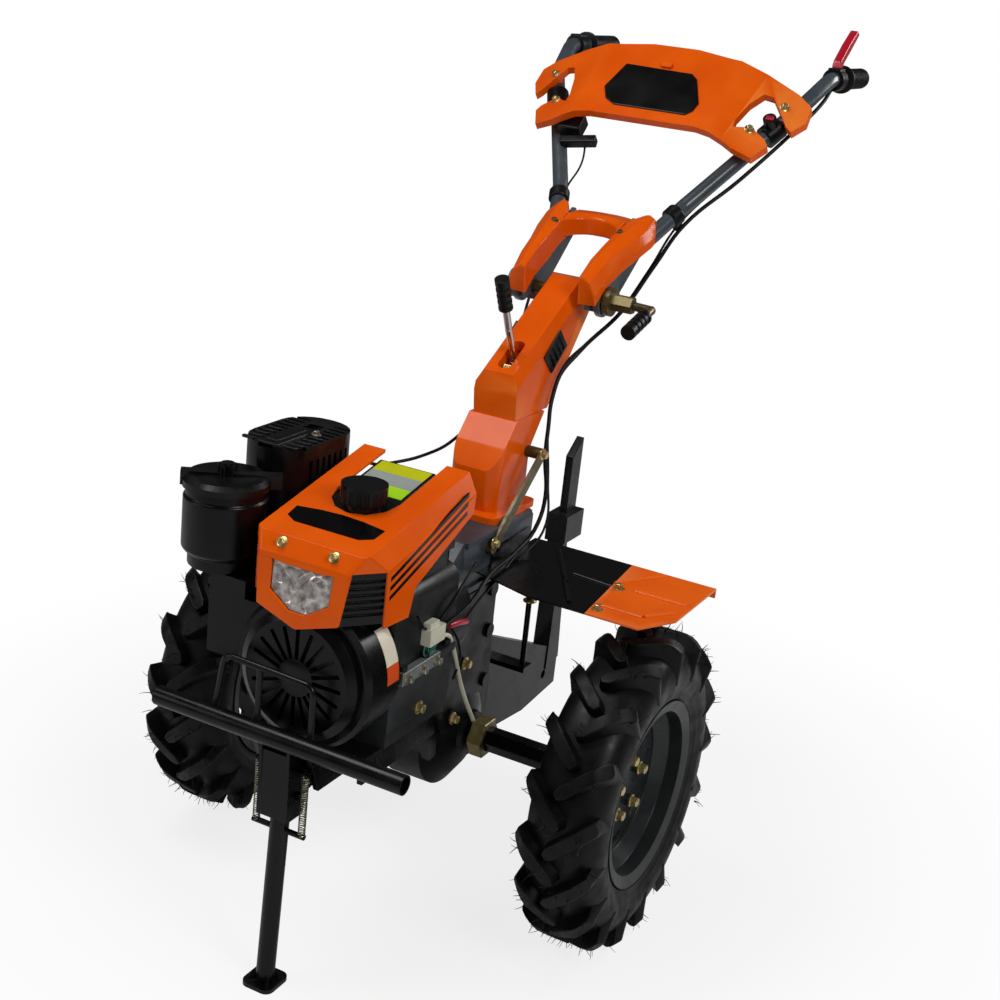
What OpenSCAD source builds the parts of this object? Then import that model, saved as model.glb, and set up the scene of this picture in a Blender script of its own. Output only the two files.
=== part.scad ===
// Two-wheel power tiller: engine in front of a vertical gearbox, column and
// tilting handlebar behind it, parked on its wheels and a folding front stand.
// Millimetres; +X forward, +Y left, +Z up. The pieces are drawn about the
// wheels' axle and then lifted, so that the floor is z = 0.

/* [Wheels] */
// Diameter over the lugs
tyre_d = 476; // [440:1:540]
// Tyre section width
tyre_w = 117; // [100:1:132]
// Distance between the wheels' centre planes
track = 638; // [600:1:720]
// Rim diameter at the bead seat
rim_d = 254; // [230:1:280]
// Lug height above the carcass
lug_h = 20; // [12:1:24]
// Lugs on each half of the tread
lug_count = 17; // [12:1:20]
// Lug bar width
lug_w = 20; // [14:1:26]
// Hub tube width across flats
hub_af = 34; // [32:1:40]
// Axle journal diameter
axle_d = 30; // [24:1:34]
// Radial clearance of the axle in the gearbox
axle_play = 0.4; // [0.3:0.05:0.6]

/* [Gearbox] */
// Radius of the final drive housing
drive_r = 92; // [80:1:104]
// Half width of the gearbox leg
leg_hw = 48; // [42:1:54]
// Half width over the axle bosses
boss_hw = 72; // [66:1:80]
// Half width of the upper case
deck_hw = 60; // [54:1:68]
// Height of the upper case
deck_h = 82; // [72:1:92]

/* [Engine] */
// Height of the crank above the axle
crank_h = 212; // [196:1:228]
// Half width of the crankcase
block_hw = 92; // [84:1:96]
// Blower housing radius
blower_r = 105; // [94:1:112]
// Fuel cap diameter
cap_d = 63; // [52:1:72]
// Air cleaner radius
can_r = 57; // [50:1:62]

/* [Hood] */
// Hood half width
hood_hw = 101; // [97:1:112]
// Hood sheet thickness
hood_t = 3; // [2:0.5:4]

/* [Front frame and stand] */
// Bumper tube diameter
bumper_d = 27; // [22:1:34]
// Bumper tube half length
bumper_hl = 194; // [160:1:230]
// Bumper tube wall
bumper_t = 3; // [2:0.5:5]
// Stand leg diameter
stand_d = 26; // [20:1:30]
// Forward reach of the foot from the pivot
foot_dx = 12; // [6:1:20]

/* [Column and handlebar] */
// Half width of the upper column
column_hw = 36; // [30:1:42]
// Handlebar tube diameter
bar_d = 26; // [22:1:30]
// Grip diameter
grip_d = 35; // [32:1:42]
// Grip length
grip_l = 120; // [100:1:132]
// Half distance between the grips
grip_y = 241; // [215:1:270]

/* [Hitch] */
// Hitch pin hole diameter
pin_d = 16; // [12:0.5:20]
// Drawbar half width
draw_hw = 13; // [10:1:18]

/* [Fenders] */
// Room between the tyre and the fender
fender_gap = 27; // [18:1:36]
// Fender plate thickness
fender_t = 2.5; // [1.5:0.5:4]

/* [Model] */
// Names of the separate pieces
// Piece to draw

/* [Hidden] */
$fn = 64;
arc_n = 6;
ball_extra = 0.6;
cut = 1;
axle_z = tyre_d / 2;

black = [0.07, 0.07, 0.08];
orange = [0.93, 0.42, 0.04];
slate = [0.23, 0.25, 0.28];
zinc = [0.66, 0.6, 0.42];
silver = [0.72, 0.73, 0.74];
red = [0.75, 0.05, 0.05];
cream = [0.9, 0.9, 0.86];

// Points on an arc about c from angle a0 to a1.
function arc(c, r, a0, a1) = [
    for (i = [0 : arc_n])
        c + r * [cos(a0 + (a1 - a0) * i / arc_n), sin(a0 + (a1 - a0) * i / arc_n)]
];

// A rectangle with round corners.
function round_rect(a, b, r) = concat(
    arc([b[0] - r, b[1] - r], r, 0, 90), arc([a[0] + r, b[1] - r], r, 90, 180),
    arc([a[0] + r, a[1] + r], r, 180, 270), arc([b[0] - r, a[1] + r], r, 270, 360)
);

// An outline moved by d.
function moved(outline, d) = [for (p = outline) p + d];

// A point part of the way from a to b.
function between(a, b, part) = a + part * (b - a);

// Extrudes an outline given as x, z points across the machine.
module across(outline, y0, y1) {
    translate([0, y1, 0])
        rotate([90, 0, 0])
            linear_extrude(y1 - y0)
                polygon(outline);
}

// Extrudes an outline given as y, z points along the machine.
module along(outline, x0, x1) {
    translate([x0, 0, 0])
        rotate([90, 0, 90])
            linear_extrude(x1 - x0)
                polygon(outline);
}

// Extrudes an outline given as x, y points upward.
module upward(outline, z0, z1) {
    translate([0, 0, z0])
        linear_extrude(z1 - z0)
            polygon(outline);
}

// A box from one corner to the other.
module box(a, b) {
    translate(a)
        cube(b - a);
}

// Puts its children at a with their z axis toward b.
module aim(a, b) {
    v = b - a;
    translate(a)
        rotate([0, acos(v[2] / norm(v)), atan2(v[1], v[0])])
            children();
}

// A round bar from point a to point b.
module rod(a, b, d) {
    aim(a, b)
        cylinder(d = d, h = norm(b - a));
}

// A round bar through a list of points with ball corners.
module bent_rod(pts, d) {
    for (i = [0 : len(pts) - 2])
        rod(pts[i], pts[i + 1], d);
    for (i = [1 : len(pts) - 2])
        translate(pts[i])
            sphere(d = d + ball_extra);
}

// A cylinder across the machine from y0 to y1 about the point x, z.
module bar_y(p, y0, y1, d) {
    translate([p[0], y0, p[1]])
        rotate([-90, 0, 0])
            cylinder(d = d, h = y1 - y0);
}

// A hexagonal bar across the machine from y0 to y1 about the point x, z.
module hex_y(p, y0, y1, af) {
    translate([p[0], y0, p[1]])
        rotate([-90, 0, 0])
            cylinder(d = af / cos(30), h = y1 - y0, $fn = 6);
}

// A cylinder along the machine from x0 to x1 about the point y, z.
module bar_x(p, x0, x1, d) {
    translate([x0, p[0], p[1]])
        rotate([0, 90, 0])
            cylinder(d = d, h = x1 - x0);
}

// Draws its children on both sides of the machine.
module both_sides() {
    children();
    mirror([0, 1, 0])
        children();
}

/* Layout, in x and heights above the axle */

leg_front = 132;
case_h = 242;
deck_top = case_h + deck_h;
engine_x = 135;
blower_x = 300;
blower_w = 72;
recoil_x = blower_x + blower_w;
blower_gap = 4;
base_h = crank_h - blower_r - blower_gap;
block_top = crank_h + 112;
bumper_x = 420;
bumper_h = base_h + 35;
bumper_p = [bumper_x, bumper_h];
stand_x = 398;
stand_h = bumper_h - 86;
stand_p = [stand_x, stand_h];
tilt_p = [-292, 631];
grip_h = 978;
grip_x = -910;
front_x = bumper_x + bumper_d / 2;
shift_x = -(front_x + grip_x) / 2;
wheel_y = track / 2;

// Sets the machine on the floor at the middle of its outer box.
module placed() {
    translate([shift_x, 0, axle_z])
        children();
}

/* Wheels */

bead_r = rim_d / 2;
flange_h = 13.5;
flange_t = 3;
flange_r = bead_r + flange_h;
tread_hw = tyre_w / 2;
rim_hw = tyre_w * 0.36;
rim_t = 4;
disc_t = 6;
well_dr = 18;
crown_r = tyre_d / 2;
carcass_r = crown_r - lug_h;
wall_dr = 36;
wall_r = carcass_r - wall_dr;
wall_half = 12;
crown_hw = tyre_w * 0.34;
flange_gap = 0.3;
tyre_steps = 3 * lug_count;
seat_r = bead_r / cos(180 / tyre_steps);
flange_y = rim_hw + flange_h * (tread_hw - rim_hw) / (wall_r - wall_half - seat_r);
carcass = [
    [seat_r, -rim_hw], [wall_r - wall_half, -tread_hw], [wall_r + wall_half, -tread_hw],
    [carcass_r, -crown_hw], [carcass_r, crown_hw], [wall_r + wall_half, tread_hw],
    [wall_r - wall_half, tread_hw], [seat_r, rim_hw]
];
carcass_n = len(carcass);
lug_slant = 42;
lug_l = tyre_w * 0.74;
lug_y = tyre_w * 0.23;
lug_pitch = 360 / lug_count;
crown_ring = [
    for (i = [0 : 2 * lug_count - 1])
        crown_r * [cos(90 + i * lug_pitch / 2), sin(90 + i * lug_pitch / 2)]
];
lug_plan = [
    [-lug_w / 2, -lug_l / 2 + lug_w / 3], [-lug_w / 5, -lug_l / 2],
    [lug_w / 5, -lug_l / 2], [lug_w / 2, -lug_l / 2 + lug_w / 3],
    [lug_w / 2, lug_l], [-lug_w / 2, lug_l]
];
lug_roof = [
    [-tread_hw / 2, wall_r], [-tread_hw / 2, crown_r + cut], [tread_hw * 0.62, crown_r + cut],
    [tread_hw, crown_r - lug_h * 0.9], [tread_hw, wall_r + wall_half], [tread_hw - lug_w, wall_r]
];

// Turns a profile of radius and width about the axle.
module turned(profile) {
    rotate([-90, 0, 0])
        rotate_extrude($fn = 96)
            polygon(profile);
}

// The tyre's body as flat facets, so that both tyres stay light.
module carcass_ring() {
    polyhedron(
        points = [
            for (i = [0 : tyre_steps - 1], p = carcass)
                let (a = 360 * i / tyre_steps)
                    [p[0] * sin(a), p[1], p[0] * cos(a)]
        ],
        faces = [
            for (i = [0 : tyre_steps - 1], j = [0 : carcass_n - 1])
                let (k = (i + 1) % tyre_steps, m = (j + 1) % carcass_n)
                    [i * carcass_n + j, i * carcass_n + m, k * carcass_n + m, k * carcass_n + j]
        ]
    );
}

// One lug bar of the left half of the tread, at the top of the wheel.
module lug() {
    intersection() {
        translate([0, lug_y, wall_r])
            rotate([0, 0, lug_slant])
                linear_extrude(crown_r - wall_r + cut)
                    polygon(lug_plan);
        along(lug_roof, -lug_l, lug_l);
    }
}

module tyre() {
    color(black)
        translate([0, wheel_y, 0])
            union() {
                carcass_ring();
                intersection() {
                    across(crown_ring, -tyre_w, tyre_w);
                    for (i = [0 : lug_count - 1]) {
                        rotate([0, i * lug_pitch, 0])
                            lug();
                        rotate([0, (i + 0.5) * lug_pitch, 0])
                            mirror([0, 1, 0])
                                lug();
                    }
                }
            }
}

well_r = bead_r - well_dr;
barrel_out = [
    [bead_r - rim_t, rim_hw + flange_t], [flange_r, flange_y + flange_t],
    [flange_r, flange_y + flange_gap], [bead_r, rim_hw + flange_gap], [bead_r, rim_hw - well_dr],
    [well_r, rim_hw - 2 * well_dr]
];
barrel_in = [
    [bead_r - rim_t, rim_hw - well_dr], [well_r - rim_t, rim_hw - 2 * well_dr]
];
barrel = concat(
    barrel_out, [for (i = [len(barrel_out) - 1 : -1 : 0])
        [barrel_out[i][0], -barrel_out[i][1]]],
    [[barrel_in[0][0], -barrel_in[0][1]], [barrel_in[1][0], -barrel_in[1][1]],
        [barrel_in[1][0], -disc_t / 2], [0, -disc_t / 2], [0, disc_t / 2],
        [barrel_in[1][0], disc_t / 2], barrel_in[1], barrel_in[0]]
);
slot_count = 8;
slot_w = 13;
slot_half = 9;
slot_r = well_r - rim_t - slot_w;
stud_count = 5;
stud_r = 43;
stud_af = 17;
stud_h = 9;

// One slot near the edge of the wheel disc.
module disc_slot() {
    for (a = [-slot_half, slot_half])
        rotate([0, a, 0])
            bar_y([0, slot_r], -disc_t, disc_t, slot_w);
    rotate([0, -slot_half, 0])
        translate([0, 0, slot_r])
            rotate([0, 90 + slot_half, 0])
                translate([-slot_w / 2, -disc_t, 0])
                    cube([slot_w, 2 * disc_t, 2 * slot_r * sin(slot_half)]);
}

module rim() {
    color(slate)
        translate([0, wheel_y, 0])
            union() {
                difference() {
                    turned(barrel);
                    for (i = [0 : slot_count - 1])
                        rotate([0, i * 360 / slot_count, 0])
                            disc_slot();
                }
                for (i = [0 : stud_count - 1])
                    rotate([0, i * 360 / stud_count, 0])
                        hex_y([0, stud_r], 0, disc_t / 2 + stud_h, stud_af);
            }
}

hub_flange_r = 60;
hub_flange_t = 8;
hub_gap = 6;
hub_y0 = boss_hw + hub_gap;
hub_y1 = wheel_y - disc_t / 2;
axle_y0 = 14;
collar_w = 22;
collar_af = hub_af + 20;

module hub() {
    color(black)
        union() {
            bar_y([0, 0], axle_y0, hub_y1, axle_d);
            hex_y([0, 0], hub_y0, hub_y1, hub_af);
            hex_y([0, 0], hub_y0, hub_y0 + collar_w, collar_af);
            bar_y([0, 0], hub_y1 - hub_flange_t, hub_y1, 2 * hub_flange_r);
        }
}

module tyre_left() { tyre(); }
module rim_left() { rim(); }
module hub_left() { hub(); }
module tyre_right() { mirror([0, 1, 0]) tyre(); }
module rim_right() { mirror([0, 1, 0]) rim(); }
module hub_right() { mirror([0, 1, 0]) hub(); }

/* Gearbox */

bell_r = 80;
plate_t = 12;
leg = [
    [-88, 0], [-78, 162], [-78, case_h], [leg_front, case_h],
    [leg_front, base_h - plate_t - cut], [86, -20]
];
pad = [
    [-66, 40], [-60, 156], [-60, case_h - 12], [112, case_h - 12],
    [112, base_h], [70, 20], [0, 60]
];
pad_t = 7;
boss_d = 22;
boss_t = 12;
boss_at = [[-52, 66], [-48, 150], [-48, 218], [28, 120], [49, 44], [98, 130], [98, 216]];
drive_half = [
    [0, boss_hw], [34, boss_hw], [36, boss_hw - 8], [60, leg_hw + 6], [drive_r, leg_hw - 16]
];
drive = concat(drive_half, [
    for (i = [len(drive_half) - 1 : -1 : 0]) [drive_half[i][0], -drive_half[i][1]]
]);

module gearbox_solid() {
    across(leg, -leg_hw, leg_hw);
    both_sides() {
        across(pad, leg_hw - cut, leg_hw + pad_t);
        for (p = boss_at)
            bar_y(p, leg_hw - cut, leg_hw + boss_t, boss_d);
    }
    rotate([-90, 0, 0])
        rotate_extrude()
            polygon(drive);
}

module bell() {
    bar_x([0, crank_h], 60, engine_x, 2 * bell_r);
}

module gearbox_case() {
    color(black)
        difference() {
            union() {
                gearbox_solid();
                bell();
            }
            both_sides()
                bar_y([0, 0], axle_y0 - 4, boss_hw + cut, axle_d + 2 * axle_play);
        }
}

deck = [
    [-152, case_h + 40], [-152, deck_top - 12], [-140, deck_top], [70, deck_top],
    [110, deck_top - 32], [110, case_h], [-100, case_h]
];
deck_lip = 5;
lip_h = 9;

module gearbox_deck() {
    color(slate)
        difference() {
            union() {
                across(deck, -deck_hw, deck_hw);
                box([-98, -deck_hw - deck_lip, case_h],
                    [108, deck_hw + deck_lip, case_h + lip_h]);
                box([-136, -deck_hw - deck_lip, deck_top - lip_h],
                    [64, deck_hw + deck_lip, deck_top]);
            }
            bell();
        }
}

/* Engine */

head_y = -190;
head_x = [150, 286];
head_z = [crank_h - 50, crank_h + 70];
fin_count = 7;
fin_t = 6;
fin_in = 12;
fin_step = (head_z[1] - head_z[0] - fin_t) / (fin_count - 1);
ledge_z = crank_h - 10;
ledge_t = 11;
ledge_w = 12;
ledge_x = [150, 296];
ledge_bolts = [165, 222, 280];
ledge_d = 16;
ledge_bolt_h = 8;
chest_r = 26;

module engine_block() {
    color(silver)
        union() {
            along(round_rect([-block_hw, base_h], [block_hw, block_top], chest_r),
                engine_x, blower_x);
            box([engine_x, -block_hw + cut, base_h], [blower_x, block_hw - cut, base_h + chest_r]);
            box([head_x[0] + fin_in, head_y + fin_in, head_z[0]],
                [head_x[1] - fin_in, -block_hw + cut, head_z[1]]);
            for (i = [0 : fin_count - 1])
                box([head_x[0], head_y, head_z[0] + i * fin_step],
                    [head_x[1], -block_hw + cut, head_z[0] + i * fin_step + fin_t]);
            box([ledge_x[0], 0, ledge_z], [ledge_x[1], block_hw + ledge_w, ledge_z + ledge_t]);
            for (x = ledge_bolts)
                translate([x, block_hw + ledge_w / 2, ledge_z])
                    cylinder(d = ledge_d * 0.7, h = ledge_t + ledge_bolt_h);
        }
}

can_x = 322;
can_y = -hood_hw - 71;
can_z = block_top;
can_h = 93;
can_foot_h = 17;
can_foot_r = can_r * 0.84;
duct_y = can_y + 7;
duct_z = [crank_h - 20, crank_h + 70];
duct_top = can_z - can_foot_h;
cover_r = blower_r * 0.86;
cover_w = 16;
cover_lip = 8;
vent_count = 20;
vent_w = 6;
vent_r = [26, 70];
shroud = [
    [0, 0], [blower_r, 0], [blower_r, blower_w - 6], [blower_r - 6, blower_w],
    [cover_r, blower_w], [cover_r, blower_w + cover_lip],
    [cover_r - 12, blower_w + cover_w], [0, blower_w + cover_w]
];

module blower_housing() {
    color(black)
        difference() {
            union() {
                translate([blower_x, 0, crank_h])
                    rotate([0, 90, 0])
                        rotate_extrude()
                            polygon(shroud);
                box([blower_x, duct_y, duct_z[0]], [recoil_x - 14, 0, duct_z[1]]);
                box([blower_x, duct_y, duct_z[1] - cut], [recoil_x - 14, -hood_hw - 6, duct_top]);
            }
            for (i = [0 : vent_count - 1])
                translate([recoil_x + cover_lip, 0, crank_h])
                    rotate([i * 360 / vent_count, 0, 0])
                        translate([0, -vent_w / 2, vent_r[0]])
                            cube([cover_w, vent_w, vent_r[1] - vent_r[0]]);
        }
}

cap_p = [264, 6];
tank_x = [140, 300];
tank_hw = 84;
tank_r = 22;
tank_top = block_top + 83;
tank_rim = 12;
ramp_hw = 44;
ramp_x = [tank_x[0] + 4, 284];
ramp_top = [block_top + 119, block_top + 88];
cap_seat = block_top + 98;
tab_x = [170, 290];
tab_z = block_top + 34;
tab_t = 10;

module fuel_tank() {
    color(slate)
        union() {
            upward(round_rect([tank_x[0], -tank_hw], [tank_x[1], tank_hw], tank_r),
                block_top, tank_top - tank_rim);
            upward(round_rect([tank_x[0] + tank_rim, -tank_hw + tank_rim],
                [tank_x[1] - tank_rim, tank_hw - tank_rim], tank_r), block_top, tank_top);
            across([[ramp_x[0], block_top], [ramp_x[0], ramp_top[0]], [ramp_x[1], ramp_top[1]],
                [ramp_x[1], block_top]], -ramp_hw, ramp_hw);
            translate([cap_p[0], cap_p[1], block_top])
                cylinder(d = cap_d * 0.76, h = cap_seat - block_top);
            both_sides()
                box([tab_x[0], tank_hw - cut, tab_z], [tab_x[1], hood_hw - hood_t, tab_z + tab_t]);
        }
}

neck_h = 5;
cap_h = 24;
scallops = 18;
scallop_d = 6;

module fuel_cap() {
    color(black)
        translate([cap_p[0], cap_p[1], cap_seat])
            union() {
                cylinder(d = cap_d * 0.8, h = neck_h);
                difference() {
                    translate([0, 0, neck_h - cut])
                        cylinder(d = cap_d, h = cap_h);
                    for (i = [0 : scallops - 1])
                        rotate([0, 0, i * 360 / scallops])
                            translate([cap_d / 2 + scallop_d * 0.2, 0, neck_h])
                                cylinder(d = scallop_d, h = cap_h - 6, $fn = 12);
                }
            }
}

/* Hood */

hood_x = 398;
hood_back = [124, 128];
hood_crest = [150, 122];
hood_brow = [372, 72];
hood_nose = [388, 50];
hood_lip = [hood_x, -40];
hood_up = [0, block_top];
hood_side = moved([
    [130, 72], hood_back, hood_crest, hood_brow, hood_nose, hood_lip,
    [346, -27], [284, -31], [272, 8]
], hood_up);
hood_hollow = moved([
    [80, -62], [80, 56], hood_back - [2, 1.35 * hood_t], hood_crest - [1, 1.35 * hood_t],
    hood_brow - hood_t * [0.7, 1], hood_nose - hood_t * [1.3, 0.3],
    hood_lip - [hood_t, -1], [hood_x - hood_t, -62]
], hood_up);
hood_slope = atan2(hood_crest[1] - hood_brow[1], hood_brow[0] - hood_crest[0]);
nose_hw = 58;
corner_x = 346;
band_w = 16;
band_drop = 26;
mouth_hw = 49;
mouth_x = 242;
lamp = [
    [-47, 43], [-30, 40], [30, 40], [47, 43], [45, 2], [12, -19], [-12, -19], [-45, 2]
];
chin = [[0, -40.5], [64, -20], [130, -24], [130, -90], [0, -90]];
lamp_x = [372, 384, 394];
window = [[58, -60], [70, 50], [130, 50], [130, -60]];
stripe_count = 3;
stripe_z = 9;
stripe_step = 13;
stripe_h = 6;
stripe_x = [148, 338];
stripe_rise = 0.35 * (stripe_x[1] - stripe_x[0]);

function hood_plan(hw, nose, x1, x2) = [
    [60, -hw], [x1, -hw], [x2, -nose], [x2, nose], [x1, hw], [60, hw]
];

// A body under the hood's outline with its top edges bevelled.
module hood_skin(side, hw, nose, x1, x2, edge_y, edge_z) {
    difference() {
        intersection() {
            across(side, -hw - cut, hw + cut);
            upward(hood_plan(hw, nose, x1, x2), block_top - 80, block_top + 160);
        }
        both_sides()
            translate([hood_crest[0], 0, block_top + hood_crest[1] - edge_z])
                rotate([0, hood_slope, 0])
                    along([[edge_y - 2 * band_w, band_drop], [edge_y + band_w, band_drop],
                        [edge_y + band_w, -2 * band_drop]], -90, 300);
    }
}

module hood() {
    color(orange)
        difference() {
            hood_skin(hood_side, hood_hw, nose_hw, corner_x, hood_x + 4, hood_hw, 0);
            hood_skin(hood_hollow, hood_hw - hood_t, nose_hw - 2, corner_x - 2,
                hood_x - hood_t + 4, hood_hw - 0.86 * hood_t, 0.6 * hood_t);
            upward(concat([[60, -mouth_hw]], arc([mouth_x, 0], mouth_hw, -90, 90),
                [[60, mouth_hw]]), block_top + 58, block_top + 158);
            along(moved(lamp, hood_up), hood_x - 40, hood_x + 20);
            both_sides() {
                along(moved(chin, hood_up), corner_x + cut, hood_x + 20);
                along(moved(window, hood_up), corner_x - cut, hood_x + 20);
                for (i = [0 : stripe_count - 1])
                    across(moved([[stripe_x[1], 0], [stripe_x[0], stripe_rise],
                        [stripe_x[0], stripe_rise + stripe_h], [stripe_x[1], stripe_h]],
                        [0, block_top + stripe_z + i * stripe_step]),
                        hood_hw - hood_t - cut, hood_hw + cut);
            }
        }
}

module headlight() {
    color(silver)
        intersection() {
            along(moved(lamp, hood_up), lamp_x[0], lamp_x[2]);
            across(moved([[lamp_x[0], -30], [lamp_x[0], 50], [lamp_x[1], 50],
                [lamp_x[2], -30]], hood_up), -hood_hw, hood_hw);
        }
}

grille_a = [corner_x - 2, hood_hw - hood_t];
grille_b = [hood_x - hood_t + 4, nose_hw - 2];
grille_in = 10;
grille_cut = 5;
grille_ribs = 6;
rib_step = 9;
rib_z = -9;
rib_h = 4.5;
grille_n = [grille_b[1] - grille_a[1], grille_a[0] - grille_b[0]] / norm(grille_b - grille_a);

module hood_grilles() {
    color(black)
        both_sides()
            intersection() {
                difference() {
                    upward([grille_a, grille_b, [hood_x - grille_in, nose_hw - 8],
                        grille_a - [grille_in, 0]],
                        block_top - 21, block_top + 49);
                    for (i = [0 : grille_ribs - 1])
                        upward([grille_a - grille_n * grille_in, grille_b - grille_n * grille_in,
                            grille_b + grille_n * grille_cut, grille_a + grille_n * grille_cut],
                            block_top + rib_z + i * rib_step,
                            block_top + rib_z + i * rib_step + rib_h);
                }
                across(hood_hollow, nose_hw - 12, hood_hw + 20);
            }
}

/* Air cleaner and muffler */

module air_cleaner() {
    color(black)
        translate([can_x, can_y, can_z])
            rotate_extrude()
                polygon([
                    [0, -can_foot_h], [can_foot_r, -can_foot_h], [can_foot_r, 0],
                    [can_r - 4, 3], [can_r, 8], [can_r, can_h - 14], [can_r - 3, can_h - 12],
                    [can_r - 3, can_h], [0, can_h]
                ]);
}

lid_h = 15;
strap_w = 18;
strap_t = 4;
knob_r = 9;
knob_h = 13;
lobes = 5;
tab_len = 16;

module air_cleaner_lid() {
    color(black)
        translate([can_x, can_y, can_z + can_h])
            union() {
                rotate_extrude()
                    polygon([
                        [0, 0], [can_r + 2, 0], [can_r + 2, lid_h - 6], [can_r - 4, lid_h],
                        [can_r - 12, lid_h + 1], [0, lid_h + 1]
                    ]);
                rotate([0, 0, 35])
                    box([-strap_w / 2, -can_r - 4, 0], [strap_w / 2, can_r + tab_len, lid_h + strap_t]);
                cylinder(r = knob_r, h = lid_h + strap_t + knob_h);
                for (i = [0 : lobes - 1])
                    rotate([0, 0, i * 360 / lobes])
                        translate([knob_r, 0, lid_h - 2])
                            cylinder(r = knob_r * 0.55, h = strap_t + knob_h);
            }
}

guard_z = [block_top + 28, block_top + 138];
guard_y = -hood_hw - 6;
guard_w = 108;
guard_x = [92, 256];
guard_r = 50;
guard_mid = guard_y - guard_w / 2;
muffler_x = [154, 258];
slit_count = 9;
slit_w = 6;
slit_step = 14;
slit_x = 118;
slit_d = 5;
dish = 36;

module muffler_guard() {
    color(black)
        union() {
            box([muffler_x[0], head_y + 4, head_z[1]], [muffler_x[1], guard_y - 6, guard_z[0] + cut]);
            difference() {
                upward(round_rect([guard_x[0], guard_y - guard_w], [guard_x[1], guard_y], guard_r),
                    guard_z[0], guard_z[1]);
                box([guard_x[0] + dish, guard_mid - 12, guard_z[1] - slit_d],
                    [guard_x[1] + cut, guard_mid + 12, guard_z[1] + cut]);
                for (i = [0 : slit_count - 1], s = [-1, 1])
                    translate([slit_x + i * slit_step, guard_mid + s * guard_w * 0.32, guard_z[1] - slit_d])
                        translate([-slit_w / 2, -guard_w * 0.13, 0])
                            cube([slit_w, guard_w * 0.26, slit_d + cut]);
                for (i = [0 : slit_count - 3], y = [guard_y, guard_y - guard_w])
                    box([slit_x + 14 + i * slit_step, y - slit_d, guard_z[0] + 24],
                        [slit_x + 14 + i * slit_step + slit_w, y + slit_d, guard_z[1] - 20]);
            }
        }
}

/* Front frame and stand */

bed_hw = 86;
bed_x = 342;
rail_h = 26;
rail_t = 8;
arm_y = [38, 46];
arm = [
    [bed_x - 20, base_h - 42], [bed_x - 20, base_h - plate_t], [bed_x, base_h - 2],
    [384, base_h - 2], [bumper_x - 10, bumper_h + 8], [bumper_x, bumper_h],
    [bumper_x - 8, bumper_h - 12], [384, base_h - 42]
];
ear_t = 5;
ear_in = stand_d / 2 + 6;
ear_y = ear_in + ear_t;
ear = [
    [bed_x - 20, base_h - 42], [bed_x - 20, base_h - plate_t], [bed_x, base_h - 2],
    [384, base_h - 2], [bumper_x - 4, bumper_h], [bumper_x + 4, bumper_h - 8],
    [stand_x + 24, stand_h], [stand_x + 18, stand_h - 32], [stand_x - 14, stand_h - 32],
    [stand_x - 24, stand_h]
];
web_x = stand_x + stand_d / 2 + 7;
web_t = 4;
pivot_d = 12;
pivot_play = 0.4;
spring_d = 11;
spring_y = ear_y + spring_d / 2 + 7;
spring_x = stand_x + 4;
hook_d = 8;
hook_z = [stand_h - 54, stand_h + 38];
bore_l = 90;

module front_frame() {
    color(black)
        difference() {
            union() {
                box([leg_front, -bed_hw, base_h - plate_t], [bed_x, bed_hw, base_h]);
                both_sides() {
                    box([leg_front + 20, bed_hw - rail_t, base_h - plate_t - rail_h],
                        [bed_x, bed_hw, base_h - plate_t + cut]);
                    across(arm, arm_y[0], arm_y[1]);
                    across(ear, ear_in, ear_y);
                    bar_y([spring_x, hook_z[1]], ear_in, spring_y + 5, hook_d);
                }
                box([bed_x - 20, -arm_y[1], base_h - 42], [bed_x, arm_y[1], base_h - plate_t + cut]);
                box([web_x, -ear_y, stand_h - 30], [web_x + web_t, ear_y, bumper_h - 20]);
                bar_y(bumper_p, -bumper_hl, bumper_hl, bumper_d);
            }
            both_sides()
                bar_y(bumper_p, bumper_hl - bore_l, bumper_hl + cut, bumper_d - 2 * bumper_t);
            bar_y(stand_p, -ear_y - cut, ear_y + cut, pivot_d + 2 * pivot_play);
        }
}

foot_t = 6;
foot_half = [26, 24];
boss_play = 1;

module stand_leg() {
    color(black)
        union() {
            rod([stand_x, 0, stand_h], [stand_x + foot_dx, 0, foot_t - axle_z - cut], stand_d);
            bar_y(stand_p, -ear_in + boss_play, ear_in - boss_play, stand_d + 4);
            bar_y(stand_p, -ear_y - 5, ear_y + 5, pivot_d);
            upward(moved(round_rect(-foot_half, foot_half, 12), [stand_x + foot_dx, 0]),
                -axle_z, foot_t - axle_z);
            bar_y([spring_x, hook_z[0]], -spring_y - 5, spring_y + 5, hook_d);
        }
}

module stand_springs() {
    color(silver)
        both_sides()
            rod([spring_x, spring_y, hook_z[0] + hook_d / 2],
                [spring_x, spring_y, hook_z[1] - hook_d / 2 - cut / 2], spring_d);
}

/* Column */

seam_h = deck_top + 142;
foot_h = 10;
stem_hw = column_hw + 5;
stem_r = 26;
stem = [
    [-47, deck_top], [-42, deck_top + 38], [-44, deck_top + 74], [-66, deck_top + 106],
    [-98, seam_h], [-190, seam_h], [-150, deck_top + 88], [-150, deck_top]
];

module column_lower() {
    color(orange)
        union() {
            intersection() {
                across(stem, -stem_hw - cut, stem_hw + cut);
                upward(round_rect([-220, -stem_hw], [-42, stem_hw], stem_r), deck_top, seam_h);
            }
            upward(round_rect([-162, -deck_hw + 2], [-26, deck_hw - 2], stem_r / 2),
                deck_top, deck_top + foot_h);
        }
}

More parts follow.
